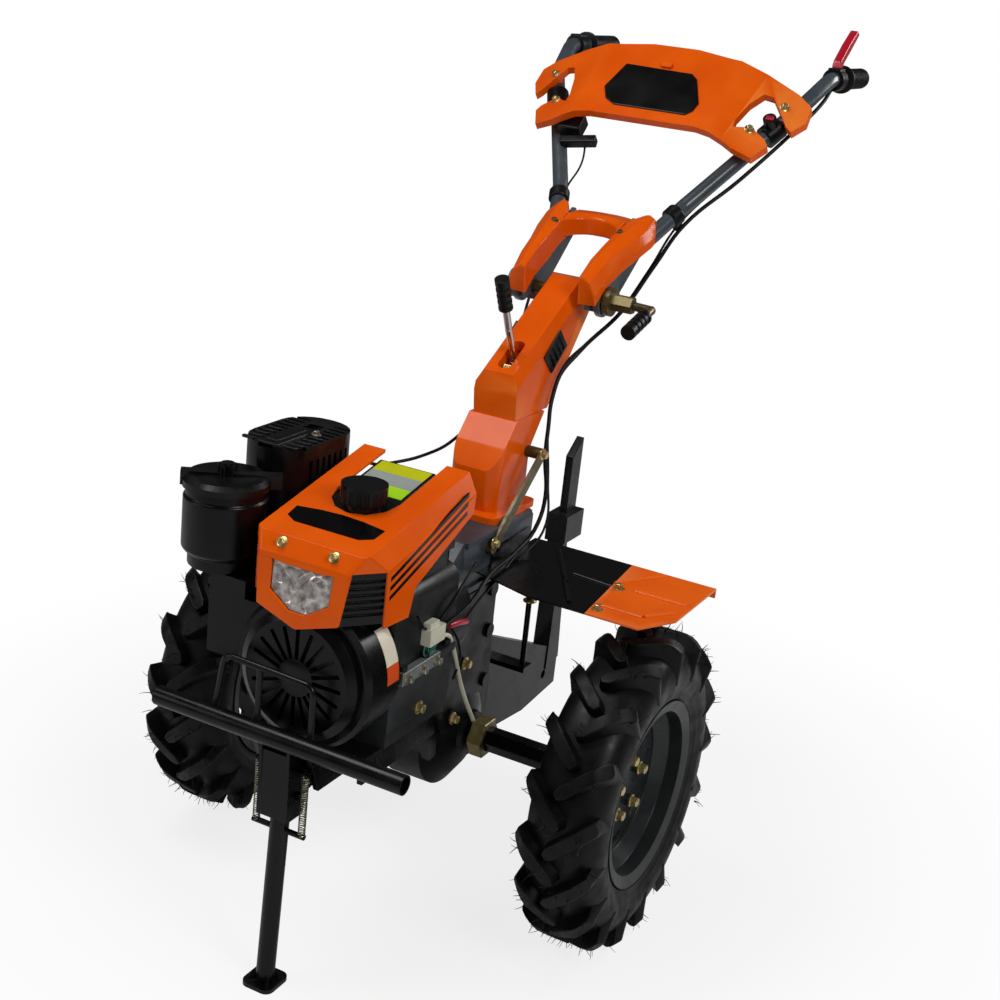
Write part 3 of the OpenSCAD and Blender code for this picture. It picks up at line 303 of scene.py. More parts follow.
# Vulcanised tyre rubber: black, dull, with a grey bloom and mould marks.
TYRE_RUBBER = Finish(
    "vulcanised_tyre_rubber",
    "#050506",
    "#0B0B0C",
    0.46,
    0.14,
    "tyre_rubber",
    drift_mm=60,
    grain_mm=1.4,
    depth_mm=0.06,
    wear_and_highlight="#151516",
    specular=0.2,
)
# Red moulded nylon of the hand lever: deep red and smooth.
RED_NYLON = Finish("red_moulded_nylon", "#B80F28", "#9C0C20", 0.3, 0.08, "red_plastic", coat=0.1)
# Green insulated wire: dark and soft.
GREEN_PVC = Finish("green_wire_pvc", "#1E7A5C", "#155F48", 0.4, 0.08, "black_rubber", depth_mm=0.01)
# Natural nylon of plugs and hose: off white, waxy.
CREAM_NYLON = Finish("cream_natural_nylon", "#D6D4C2", "#C2BFA8", 0.38, 0.08, "white_plastic")
# Plain film on the tank: yellow green under a satin laminate.
LIME_FILM = Finish("lime_label_film", "#A9DC1C", "#98CC16", 0.3, 0.05, "white_plastic", depth_mm=0.006)
# The same film's mustard band.
YELLOW_FILM = Finish("mustard_label_film", "#BFC20A", "#AEB206", 0.3, 0.05, "white_plastic", depth_mm=0.006)
# The same film's grey field.
GREY_FILM = Finish("grey_label_film", "#9AA09A", "#8A908A", 0.3, 0.05, "white_plastic", depth_mm=0.006)
# Plain film on the engine's side: warm cream.
CREAM_FILM = Finish("cream_label_film", "#E2D9C4", "#D4C9B2", 0.32, 0.05, "white_plastic", depth_mm=0.006)
# Orange end of that film.
ORANGE_FILM = Finish("orange_label_film", "#D8501A", "#C84612", 0.32, 0.05, "orange_plastic", depth_mm=0.006)
# Black film of plates and stripes: flat, glossy.
BLACK_FILM = Finish(
    "black_label_film", "#050506", "#08080A", 0.2, 0.05, "black_plastic", depth_mm=0.006,
    specular=0.24,
)
# Enamelled tank steel: black, smooth, half gloss.
TANK_ENAMEL = Finish("tank_black_enamel", "#0C0D0E", "#141517", 0.26, 0.08, "tank_steel", specular=0.3)


def deselect() -> None:
    """Leaves nothing selected."""
    bpy.ops.object.select_all(action="DESELECT")


def activate(obj: bpy.types.Object) -> None:
    """Makes one object the only one that operators act on."""
    deselect()
    obj.select_set(True)
    bpy.context.view_layer.objects.active = obj


@contextmanager
def editing(obj: bpy.types.Object, mode: str = "VERT") -> Iterator[None]:
    """Opens an object in edit mode with nothing selected.

    Args:
        obj: The mesh object.
        mode: Blender's select mode.

    Yields:
        Nothing; edit mode ends with the block.
    """
    activate(obj)
    bpy.ops.object.mode_set(mode="EDIT")
    bpy.ops.mesh.select_mode(type=mode)
    bpy.ops.mesh.select_all(action="DESELECT")
    try:
        yield
    finally:
        bpy.ops.object.mode_set(mode="OBJECT")


def pick_faces(obj: bpy.types.Object, test: Callable[[Vector, Vector], bool]) -> int:
    """Selects faces by place and normal, from inside edit mode.

    Args:
        obj: The object in edit mode.
        test: Takes a face's middle and normal.

    Returns:
        The number of faces selected.
    """
    mesh = bmesh.from_edit_mesh(obj.data)
    count = 0
    for face in mesh.faces:
        chosen = test(face.calc_center_median(), face.normal)
        face.select_set(chosen)
        count += chosen
    mesh.select_flush_mode()
    bmesh.update_edit_mesh(obj.data)
    return count


def apply_modifier(obj: bpy.types.Object, kind: str, **settings) -> None:
    """Adds a modifier with its settings and applies it."""
    activate(obj)
    modifier = obj.modifiers.new(kind.lower(), kind)
    for key, value in settings.items():
        setattr(modifier, key, value)
    bpy.ops.object.modifier_apply(modifier=modifier.name)


def soften(obj: bpy.types.Object, width_mm: float, segments: int = 2, clamp: bool = True) -> None:
    """Rounds the sharp edges and shades the rest smooth.

    Args:
        obj: The mesh object.
        width_mm: Width of the rounding.
        segments: Faces across the rounding.
        clamp: Whether tiny edges hold the width back.
    """
    if width_mm > 0:
        apply_modifier(
            obj,
            "BEVEL",
            width=width_mm * MM,
            segments=segments,
            limit_method="ANGLE",
            angle_limit=math.radians(26),
            use_clamp_overlap=clamp,
        )
    smooth(obj)
    apply_modifier(obj, "WEIGHTED_NORMAL", mode="FACE_AREA", weight=50, keep_sharp=True)


def smooth(obj: bpy.types.Object, degrees: float = 34) -> None:
    """Shades an object smooth up to an angle."""
    activate(obj)
    bpy.ops.object.shade_smooth_by_angle(angle=math.radians(degrees))


def heal(obj: bpy.types.Object, reach_mm: float = 0.02) -> None:
    """Merges doubled points and turns the faces outward."""
    with editing(obj):
        bpy.ops.mesh.select_all(action="SELECT")
        bpy.ops.mesh.remove_doubles(threshold=reach_mm * MM)
        bpy.ops.mesh.normals_make_consistent(inside=False)


def settle(obj: bpy.types.Object, place: Matrix) -> bpy.types.Object:
    """Moves an object's place into its mesh.

    Args:
        obj: The object, with any place of its own.
        place: Where its own frame goes.

    Returns:
        The same object, at the origin.
    """
    bpy.context.view_layer.update()
    obj.data.transform(place @ obj.matrix_world)
    obj.matrix_world = Matrix.Identity(4)
    obj.data.update()
    return obj


def facing(point: Vector, direction: Vector, spin: float = 0.0) -> Matrix:
    """Gives a place at a point with +Z along a direction.

    Args:
        point: Where the origin goes.
        direction: Where +Z goes.
        spin: Degrees turned about that direction.

    Returns:
        The place as a matrix.
    """
    turn = direction.to_track_quat("Z", "Y").to_matrix().to_4x4()
    return Matrix.Translation(point) @ turn @ Matrix.Rotation(math.radians(spin), 4, "Z")


def dress(
    obj: bpy.types.Object, name: str, finish: Finish, body: Body, nodes: Sequence[str] = ()
) -> bpy.types.Object:
    """Names a finished piece, gives it its finish and sets it on its body.

    Args:
        obj: The finished mesh object.
        name: The piece's name.
        finish: What it is made of.
        body: What it moves with.
        nodes: The solids that it stands for.

    Returns:
        The same object.
    """
    obj.name = name
    obj.data.materials.clear()
    obj.data.materials.append(finish.material())
    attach(obj, body.value)
    if nodes:
        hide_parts(*nodes)
    log.info("%s: %d faces on %s", name, len(obj.data.polygons), body.value)
    return obj


def copy_node(node: str, flat_degrees: float = 0.6) -> bpy.types.Object:
    """Gives a loose copy of a solid with its doubled points merged and flat faces whole.

    Args:
        node: The solid's name.
        flat_degrees: Largest angle between faces that count as one.

    Returns:
        The copy, ready to be shaped.
    """
    obj = bpy.data.objects.new(node + "_copy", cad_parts[node].data.copy())
    bpy.context.scene.collection.objects.link(obj)
    activate(obj)
    if obj.data.has_custom_normals:
        bpy.ops.mesh.customdata_custom_splitnormals_clear()
    with editing(obj):
        bpy.ops.mesh.select_all(action="SELECT")
        bpy.ops.mesh.remove_doubles(threshold=2e-5)
        if flat_degrees > 0:
            bpy.ops.mesh.dissolve_limited(angle_limit=math.radians(flat_degrees))
    return obj


def round_node(
    node: str,
    finish: Finish,
    body: Body,
    width_mm: float,
    segments: int = 2,
    clamp: bool = True,
    flat_degrees: float = 0.6,
) -> bpy.types.Object:
    """Puts a softened copy in the place of a solid.

    Args:
        node: The solid's name.
        finish: What it is made of.
        body: What it moves with.
        width_mm: Width of the rounding on its edges.
        segments: Faces across the rounding.
        clamp: Whether tiny edges hold the width back.
        flat_degrees: Largest angle between faces that count as one.

    Returns:
        The new piece.
    """
    obj = copy_node(node, flat_degrees)
    soften(obj, width_mm, segments, clamp)
    return dress(obj, node + "_skin", finish, body, [node])


def rounded_line(points: Sequence[Vector], radius_mm: float, steps: int = 7) -> list[Vector]:
    """Rounds the corners of a line of points.

    Args:
        points: The corners, in metres.
        radius_mm: Radius of the bends.
        steps: Points on each bend.

    Returns:
        The finer line.
    """
    line = [points[0]]
    for before, corner, after in zip(points, points[1:], points[2:]):
        back, on = (before - corner), (after - corner)
        half = back.angle(on) / 2
        reach = min(radius_mm * MM / math.tan(half), 0.47 * min(back.length, on.length))
        start, end = corner + back.normalized() * reach, corner + on.normalized() * reach
        for i in range(steps + 1):
            t = i / steps
            line.append(start.lerp(corner, t).lerp(corner.lerp(end, t), t))
    line.append(points[-1])
    return line


def tube(
    points: Sequence[Vector], across_mm: float, run: Run = Run.LOOSE, bend_mm: float = 40, fineness: int = 3
) -> bpy.types.Object:
    """Sweeps a round tube along points.

    Args:
        points: The line, in metres.
        across_mm: Diameter.
        run: Whether the line is bent tube or loose cable.
        bend_mm: Radius of the bends of a bent tube.
        fineness: Roundness of the section.

    Returns:
        A closed mesh object.
    """
    curve = bpy.data.curves.new("tube", "CURVE")
    curve.dimensions = "3D"
    curve.bevel_depth = across_mm / 2 * MM
    curve.bevel_resolution = fineness
    curve.use_fill_caps = True
    curve.resolution_u = 7
    if run is Run.BENT:
        line = rounded_line(points, bend_mm)
        spline = curve.splines.new("POLY")
        spline.points.add(len(line) - 1)
        for knot, point in zip(spline.points, line):
            knot.co = (*point, 1.0)
    else:
        spline = curve.splines.new("BEZIER")
        spline.bezier_points.add(len(points) - 1)
        for knot, point in zip(spline.bezier_points, points):
            knot.co = point
            knot.handle_left_type = knot.handle_right_type = "AUTO"
    obj = bpy.data.objects.new("tube", curve)
    bpy.context.scene.collection.objects.link(obj)
    activate(obj)
    bpy.ops.object.convert(target="MESH")
    obj = bpy.context.view_layer.objects.active
    heal(obj, 0.005)
    smooth(obj, 50)
    return obj


def turn(profile: Sequence[tuple[float, float]], steps: int = 32) -> bpy.types.Object:
    """Turns a closed piece from a half section.

    Args:
        profile: Radius and height pairs in millimetres, from the axis round to the axis.
        steps: Faces round the axis.

    Returns:
        The piece about +Z at the origin.
    """
    mesh = bpy.data.meshes.new("turned")
    points = [(r * MM, 0, z * MM) for r, z in profile]
    mesh.from_pydata(points, [(i, i + 1) for i in range(len(points) - 1)], [])
    obj = bpy.data.objects.new("turned", mesh)
    bpy.context.scene.collection.objects.link(obj)
    with editing(obj):
        bpy.ops.mesh.select_all(action="SELECT")
        bpy.ops.mesh.spin(steps=steps, angle=2 * math.pi, center=(0, 0, 0), axis=(0, 0, 1))
    heal(obj)
    smooth(obj, 30)
    return obj


def plate(outline: Sequence[tuple[float, float]], thick_mm: float) -> bpy.types.Object:
    """Raises a flat outline to a plate.

    Args:
        outline: Corner pairs in millimetres.
        thick_mm: Height along +Z.

    Returns:
        A closed plate on the plane z = 0.
    """
    mesh = bpy.data.meshes.new("plate")
    mesh.from_pydata([(a * MM, b * MM, 0) for a, b in outline], [], [list(range(len(outline)))])
    obj = bpy.data.objects.new("plate", mesh)
    bpy.context.scene.collection.objects.link(obj)
    with editing(obj, "FACE"):
        bpy.ops.mesh.select_all(action="SELECT")
        bpy.ops.mesh.extrude_region_move(TRANSFORM_OT_translate={"value": (0, 0, thick_mm * MM)})
    heal(obj)
    return obj


def copies(model: bpy.types.Object, places: Sequence[Matrix]) -> bpy.types.Object:
    """Copies a modelled piece to each place, in one new mesh.

    Args:
        model: The piece at the origin; it is removed.
        places: Where the copies go.

    Returns:
        One object with all the copies.
    """
    mesh = bmesh.new()
    for place in places:
        part = model.data.copy()
        part.transform(place)
        if place.determinant() < 0:
            part.flip_normals()
        mesh.from_mesh(part)
        bpy.data.meshes.remove(part)
    whole = bpy.data.meshes.new("copies")
    mesh.to_mesh(whole)
    mesh.free()
    obj = bpy.data.objects.new("copies", whole)
    bpy.context.scene.collection.objects.link(obj)
    bpy.data.objects.remove(model)
    return obj


def merge(objs: Sequence[bpy.types.Object]) -> bpy.types.Object:
    """Joins several objects into the first."""
    activate(objs[0])
    for obj in objs[1:]:
        obj.select_set(True)
    bpy.ops.object.join()
    return objs[0]


def sheet(rows: Sequence[Sequence[Vector]], thick_mm: float) -> bpy.types.Object:
    """Lays a thin closed sheet over rows of points.

    Args:
        rows: Rows of equal length, in metres, with the outside to the right of row by row travel.
        thick_mm: Thickness, added outward.

    Returns:
        The sheet at the origin.
    """
    wide = len(rows[0])
    faces = [
        (r * wide + c, r * wide + c + 1, (r + 1) * wide + c + 1, (r + 1) * wide + c)
        for r in range(len(rows) - 1)
        for c in range(wide - 1)
    ]
    mesh = bpy.data.meshes.new("sheet")
    mesh.from_pydata([point for row in rows for point in row], [], faces)
    obj = bpy.data.objects.new("sheet", mesh)
    bpy.context.scene.collection.objects.link(obj)
    apply_modifier(obj, "SOLIDIFY", thickness=thick_mm * MM, offset=0.0)
    heal(obj)
    smooth(obj)
    return obj


def loft(rings: Sequence[Sequence[Vector]]) -> bpy.types.Object:
    """Skins a closed solid over rings of points.

    Args:
        rings: Rings of equal length, in metres, one after the other.

    Returns:
        The solid at the origin, its ends closed.
    """
    wide = len(rings[0])
    faces = [
        (r * wide + c, r * wide + (c + 1) % wide, (r + 1) * wide + (c + 1) % wide, (r + 1) * wide + c)
        for r in range(len(rings) - 1)
        for c in range(wide)
    ]
    last = (len(rings) - 1) * wide
    faces += [tuple(range(wide)), tuple(range(last, last + wide))]
    mesh = bpy.data.meshes.new("loft")
    mesh.from_pydata([point for ring in rings for point in ring], [], faces)
    obj = bpy.data.objects.new("loft", mesh)
    bpy.context.scene.collection.objects.link(obj)
    heal(obj)
    return obj


def block(size_mm: tuple[float, float, float], round_mm: float, place: Matrix) -> bpy.types.Object:
    """Makes a moulded block with rounded edges.

    Args:
        size_mm: Length, width and height.
        round_mm: Rounding of its edges.
        place: Where its middle goes.

    Returns:
        The block with its place in the mesh.
    """
    deselect()
    bpy.ops.mesh.primitive_cube_add(size=1)
    obj = bpy.context.view_layer.objects.active
    obj.scale = [edge * MM for edge in size_mm]
    settle(obj, Matrix.Identity(4))
    soften(obj, round_mm, 3)
    return settle(obj, place)


def standing(node: str, start: Vector, way: Vector) -> Matrix:
    """Finds the place where a straight line first meets a solid.

    Args:
        node: The solid's name.
        start: Where the line starts, in metres.
        way: Where it goes.

    Returns:
        The place on the surface, with +Z outward.

    Raises:
        ValueError: If the line misses the solid.
    """
    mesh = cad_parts[node].data
    tree = BVHTree.FromPolygons([v.co for v in mesh.vertices], [tuple(p.vertices) for p in mesh.polygons])
    point, normal, _, _ = tree.ray_cast(start, way.normalized())
    if point is None:
        raise ValueError(f"no surface of {node} ahead of {tuple(start)}")
    return facing(point, normal)


@dataclass
class Bolt:
    """A flanged hexagon bolt head that stands on a surface."""

    flats: float = 10.0
    head: float = 6.0
    flange: float = 9.0
    flange_t: float = 1.8

    def model(self) -> bpy.types.Object:
        """Models one head about +Z at the origin, with a chamfered top and a washer under it."""
        deselect()
        bpy.ops.mesh.primitive_cylinder_add(
            vertices=6,
            radius=self.flats / math.sqrt(3) * MM,
            depth=self.head * MM,
            location=(0, 0, (self.flange_t + self.head / 2) * MM),
        )
        head = bpy.context.view_layer.objects.active
        settle(head, Matrix.Identity(4))
        with editing(head, "FACE"):
            pick_faces(head, lambda middle, normal: normal.z > 0.9)
            bpy.ops.mesh.inset(thickness=self.flats * 0.12 * MM)
            bpy.ops.transform.translate(value=(0, 0, self.head * 0.14 * MM))
        soften(head, 0.3, 1)
        reach, tall = self.flange, self.flange_t
        washer = turn([(0, -0.6), (reach, -0.6), (reach, tall * 0.5), (reach * 0.8, tall), (0, tall)], 18)
        return merge([head, washer])

    def row(self, name: str, places: Sequence[Matrix], finish: Finish, body: Body) -> bpy.types.Object:
        """Sets bolts at each place.

        Args:
            name: The piece's name.
            places: Where the heads stand, +Z outward.
            finish: What they are made of.
            body: What they move with.

        Returns:
            One object with all the heads.
        """
        return dress(copies(self.model(), places), name, finish, body)


@dataclass
class Studio:
    """Camera, floor and soft light of a plain studio."""

    camera_at: tuple[float, float, float] = (1967.7, 1037.5, 1360.35)
    yaw: float = 0.455
    pitch: float = 0.328
    roll: float = -0.111
    focal_px: float = 1602.35
    image_px: float = 1000.0
    floor_m: float = 120.0
    glow: float = 0.14
    mirror: float = 0.05

    def build(self) -> None:
        """Makes the camera, the floor, the lamps and the white world."""
        self.camera()
        self.floor()
        for name, place, size, watts in (
            ("key", at(1300, 2500, 2500), 1.2, 48.0),
            ("fill", at(2300, -2300, 1500), 1.2, 12.0),
            ("top", at(700, -900, 3000), 1.3, 36.0),
            ("rim", at(-2300, 1500, 1900), 1.0, 24.0),
        ):
            self.lamp(name, place, size, watts)
        self.world()
        bpy.context.scene.view_settings.view_transform = "Standard"

    def camera(self) -> None:
        """Sets the camera where the photograph was taken."""
        ahead = Vector(
            (
                -math.cos(self.yaw) * math.cos(self.pitch),
                -math.sin(self.yaw) * math.cos(self.pitch),
                -math.sin(self.pitch),
            )
        )
        level = ahead.cross(UP).normalized()
        down = ahead.cross(level)
        right = math.cos(self.roll) * level + math.sin(self.roll) * down
        below = -math.sin(self.roll) * level + math.cos(self.roll) * down
        data = bpy.data.cameras.new("photo_camera")
        data.sensor_width = 36.0
        data.lens = self.focal_px * data.sensor_width / self.image_px
        data.clip_end = 300.0
        data.dof.use_dof = False
        camera = bpy.data.objects.new("photo_camera", data)
        bpy.context.scene.collection.objects.link(camera)
        turn_to = Matrix((right, -below, -ahead)).transposed().to_4x4()
        camera.matrix_world = Matrix.Translation(at(*self.camera_at)) @ turn_to
        bpy.context.scene.camera = camera

    def seen(self, tree: bpy.types.NodeTree) -> bpy.types.NodeSocket:
        """Gives 1 for rays that show the background, directly or through glass."""
        path = add_node(tree, "ShaderNodeLightPath").outputs
        return add_node(
            tree,
            "ShaderNodeMath",
            {0: path["Is Camera Ray"], 1: path["Is Transmission Ray"]},
            operation="MAXIMUM",
        ).outputs[0]

    def floor(self) -> None:
        """Lays a pale floor that keeps the shadow and fades to white far off."""
        deselect()
        bpy.ops.mesh.primitive_plane_add(size=self.floor_m)
        floor = bpy.context.view_layer.objects.active
        floor.name = "floor"
        material = bpy.data.materials.new("pale_floor")
        material.use_nodes = True
        tree = material.node_tree
        tree.nodes.clear()
        place = add_node(tree, "ShaderNodeTexCoord").outputs["Object"]
        far = add_node(tree, "ShaderNodeVectorMath", {0: place}, operation="LENGTH").outputs["Value"]
        fade = add_node(
            tree,
            "ShaderNodeMapRange",
            {"Value": far, "From Min": 0.4, "From Max": 1.2, "To Min": 0.8, "To Max": 1.0},
            interpolation_type="SMOOTHSTEP",
        )
        white = add_node(
            tree, "ShaderNodeMath", {0: fade.outputs[0], 1: self.seen(tree)}, operation="MULTIPLY"
        )
        matte = add_node(tree, "ShaderNodeBsdfDiffuse", {"Color": linear("#E9E9E9")})
        glow = add_node(tree, "ShaderNodeEmission", {"Color": (1, 1, 1, 1), "Strength": 1.0})
        mixed = add_node(
            tree, "ShaderNodeMixShader", {0: white.outputs[0], 1: matte.outputs[0], 2: glow.outputs[0]}
        )
        add_node(tree, "ShaderNodeOutputMaterial", {"Surface": mixed.outputs[0]})
        floor.data.materials.append(material)

    def lamp(self, name: str, place: Vector, size: float, watts: float) -> None:
        """Hangs one soft square lamp that looks at the machine's middle."""
        data = bpy.data.lights.new(name, "AREA")
        data.size = size
        data.energy = watts
        lamp = bpy.data.objects.new(name, data)
        bpy.context.scene.collection.objects.link(lamp)
        lamp.matrix_world = facing(place, place - at(-100, 0, 600))

    def world(self) -> None:
        """Gives a white surround to look at and a gentle light from it."""
        world = bpy.data.worlds.new("white_room")
        bpy.context.scene.world = world
        world.use_nodes = True
        tree = world.node_tree
        tree.nodes.clear()
        mirrored = add_node(tree, "ShaderNodeLightPath").outputs["Is Glossy Ray"]
        dim = add_node(
            tree, "ShaderNodeMapRange", {"Value": mirrored, "To Min": self.glow, "To Max": self.mirror}
        )
        strength = add_node(
            tree, "ShaderNodeMapRange", {"Value": self.seen(tree), "To Min": dim.outputs[0], "To Max": 1.0}
        )
        back = add_node(
            tree, "ShaderNodeBackground", {"Color": (1, 1, 1, 1), "Strength": strength.outputs[0]}
        )
        add_node(tree, "ShaderNodeOutputWorld", {"Surface": back.outputs[0]})


@dataclass
class Wheel:
    """One lugged tyre on its rim and hub."""

    side: int
    middle_y: float = 319.0
    axle_z: float = 238.0
    crown: float = 238.0
    half_w: float = 58.5
    lug_count: int = 17
    lug_w: float = 19.0
    lug_slant: float = 42.0
    lug_inner: float = -7.0
    lug_mid: float = 26.9
    hairs_per_lug: int = 15
    hair: float = 17.0
    stud_r: float = 43.0
    stud_count: int = 5
    collar_y: tuple[float, float] = (77.5, 100.5)
    collar_flats: float = 54.8

    @property
    def word(self) -> str:
        """Left or right."""
        return "left" if self.side > 0 else "right"

    @property
    def body(self) -> Body:
        """The body that turns with this wheel."""
        return Body.WHEEL_LEFT if self.side > 0 else Body.WHEEL_RIGHT

    def wall(self) -> list[tuple[float, float]]:
        """Gives the carcass section from crown to bead as width and radius pairs."""
        return [
            (0, 219.5), (14, 219), (26, 217.6), (36, 214.5), (44, 209), (50.5, 201), (55, 192), (57.6, 182),
            (58.2, 173), (56.6, 164), (54.6, 160.5), (54.4, 157), (52.6, 153), (50.2, 148.5), (49.6, 144.5),
            (47.2, 141.5), (44, 138), (43.5, 127.3),
        ]

    def wall_radius(self, width: float) -> float:
        """Gives the carcass radius at a width, above its widest place."""
        line = [p for p in self.wall() if p[1] >= 173]
        for (w0, r0), (w1, r1) in zip(line, line[1:]):
            if width <= w1:
                return r0 + (r1 - r0) * max(width - w0, 0) / (w1 - w0)
        return line[-1][1]

    def place(self) -> Matrix:
        """Gives the wheel's middle with +Z along the axle to the outside."""
        return facing(at(0, self.side * self.middle_y, self.axle_z), LEFT * self.side)

    def around(self, width: float, radius: float, angle: float) -> Vector:
        """Gives a point on the wheel, with the angle from the top toward the front."""
        return at(
            radius * math.sin(angle),
            self.side * (self.middle_y + width),
            self.axle_z + radius * math.cos(angle),
        )

    def carcass(self) -> bpy.types.Object:
        """Spins the tyre's body from its rounded section."""
        half = self.wall()
        section = [(r, w) for w, r in reversed(half)] + [(r, -w) for w, r in half[1:]]
        ring = turn([*section, section[0]], 120)
        return settle(ring, self.place())

    def bar(self) -> bpy.types.Object:
        """Models one lug flat: length on y, width on x, foot at z = 0 and top at z = 1."""
        long = (self.half_w + 1 - self.lug_inner) / math.cos(math.radians(self.lug_slant))
        deselect()
        bpy.ops.mesh.primitive_cube_add(size=1)
        bar = bpy.context.view_layer.objects.active
        bar.scale = (self.lug_w, long, 1)
        bar.location = (0, long / 2, 0.5)
        settle(bar, Matrix.Identity(4))
        with editing(bar, "FACE"):
            for i in range(1, 9):
                bpy.ops.mesh.select_all(action="SELECT")
                bpy.ops.mesh.bisect(plane_co=(0, long * i / 9, 0), plane_no=(0, 1, 0))
            for level in (0.3, 0.72):
                bpy.ops.mesh.select_all(action="SELECT")
                bpy.ops.mesh.bisect(plane_co=(0, 0, level), plane_no=(0, 0, 1))
        for vertex in bar.data.vertices:
            low = 1 - vertex.co.z
            vertex.co.x *= 1 + 0.42 * low * low
            tip = max(0.0, 1 - vertex.co.y / (self.lug_w * 0.62))
            vertex.co.x *= math.sqrt(max(1 - 0.72 * tip * tip, 0.1))
            if vertex.co.y < long / 2:
                vertex.co.y -= 4.0 * low * low
        return bar

    def lugs(self) -> bpy.types.Object:
        """Wraps the modelled lug round both halves of the tread."""
        bar = self.bar()
        slant = math.radians(self.lug_slant)
        pitch = 2 * math.pi / self.lug_count
        whole = []
        for half in SIDES:
            for i in range(self.lug_count):
                part = bpy.data.objects.new("lug", bar.data.copy())
                bpy.context.scene.collection.objects.link(part)
                offset = (i if half > 0 else i + 0.5) * pitch
                for vertex in part.data.vertices:
                    s, w, h = self.tread(vertex.co, slant)
                    low = self.wall_radius(abs(w)) - 3
                    top = self.roof(w)
                    angle = offset + s / (self.crown - 10)
                    vertex.co = self.around(half * w, low + h * (top - low), angle)
                whole.append(part)
        bpy.data.objects.remove(bar)
        lugs = merge(whole)
        heal(lugs, 0.001)
        soften(lugs, 2.6, 2)
        return lugs

    def tread(self, flat: Vector, slant: float) -> tuple[float, float, float]:
        """Turns a point of the flat lug into length round the tyre, width and height."""
        w = self.lug_inner + flat.y * math.cos(slant) + flat.x * math.sin(slant)
        s = -(w - self.lug_mid) * math.tan(slant) + flat.x / math.cos(slant)
        return s, min(w, self.half_w + 1), flat.z

    def roof(self, width: float) -> float:
        """Gives the radius of the lugs' tops at a width."""
        drop = max(abs(width) - 34, 0) / (self.half_w + 1 - 34)
        return self.crown - 0.4 - 19 * drop**1.7

    def hairs(self) -> bpy.types.Object:
        """Grows the moulding vents' thin rubber hairs on the lugs."""
        draw = random.Random(17 + self.side)
        deselect()
        bpy.ops.mesh.primitive_cone_add(vertices=4, radius1=0.05, radius2=0.022, depth=1)
        spike = bpy.context.view_layer.objects.active
        settle(spike, Matrix.Translation((0, 0, 0.5)))
        with editing(spike, "FACE"):
            for level in (0.3, 0.55, 0.8):
                bpy.ops.mesh.select_all(action="SELECT")
                bpy.ops.mesh.bisect(plane_co=(0, 0, level), plane_no=(0, 0, 1))
        for vertex in spike.data.vertices:
            vertex.co.x += 0.4 * vertex.co.z**2
        slant = math.radians(self.lug_slant)
        pitch = 2 * math.pi / self.lug_count
        places = []
        for half in SIDES:
            for i in range(self.lug_count):
                for _ in range(self.hairs_per_lug):
                    w = draw.uniform(self.lug_inner, self.half_w)
                    edge = draw.choice((-0.52, 0.52, 0.1))
                    s = -(w - self.lug_mid) * math.tan(slant) + edge * self.lug_w / math.cos(slant)
                    angle = (i if half > 0 else i + 0.5) * pitch + s / (self.crown - 10)
                    low = self.wall_radius(abs(w)) - 3
                    share = draw.uniform(0.55, 1.0)
                    root = self.around(half * w, low + share * (self.roof(w) - low) - 1.5, angle)
                    out = Vector((math.sin(angle), 0, math.cos(angle)))
                    across = LEFT * self.side * half * (0.2 + 1.6 * max(w, 0) / self.half_w)
                    lean = Vector((draw.uniform(-0.5, 0.5), draw.uniform(-0.5, 0.5), draw.uniform(-0.5, 0.5)))
                    way = (out + across * draw.uniform(0.2, 1.0) + lean).normalized()
                    long = self.hair * draw.uniform(0.45, 1.1) * MM
                    if (root + way * long).z < 0.004:
                        continue
                    places.append(facing(root, way, draw.uniform(0, 360)) @ Matrix.Scale(long, 4))
        return copies(spike, places)

    def build(self) -> None:
        """Builds the tyre, the rim with its nuts and the hub."""
        tyre = merge([self.carcass(), self.lugs()])
        dress(tyre, f"tyre_{self.word}_tread", TYRE_RUBBER, self.body, [f"tyre_{self.word}"])
        dress(self.hairs(), f"tyre_{self.word}_hairs", TYRE_RUBBER, self.body)
        round_node(f"rim_{self.word}", GREY_RIM, self.body, 1.0)
        round_node(f"hub_{self.word}", BLACK_POWDER, self.body, 1.2)
        self.nuts("nuts", Bolt(14, 8, 10, 1.8), self.stud_r, self.stud_count)
        self.collar()

    def nuts(self, word: str, bolt: Bolt, radius: float, count: int) -> None:
        """Sets a ring of nuts on the wheel's disc."""
        places = []
        for i in range(count):
            angle = 2 * math.pi * i / count
            start = at(
                radius * math.sin(angle),
                self.side * (self.middle_y + 60),
                self.axle_z + radius * math.cos(angle),
            )
            places.append(standing(f"rim_{self.word}", start, LEFT * -self.side))
        bolt.row(f"rim_{self.word}_{word}", places, YELLOW_ZINC, self.body)

    def collar(self) -> None:
        """Slips the plated hexagon collar over the axle tube beside the gearbox."""
        low, high = self.collar_y
        reach = self.collar_flats / math.sqrt(3)
        bore = reach - 12
        lip = reach - 1.5
        profile = [(bore, low), (lip, low), (reach, low + 1.5), (reach, high - 1.5)]
        profile += [(lip, high), (bore, high), (bore, low)]
        ring = turn(profile, 6)
        smooth(ring, 10)
        settle(ring, facing(at(0, 0, self.axle_z), LEFT * self.side))
        dress(ring, f"hub_{self.word}_collar", OLIVE_ZINC, self.body)


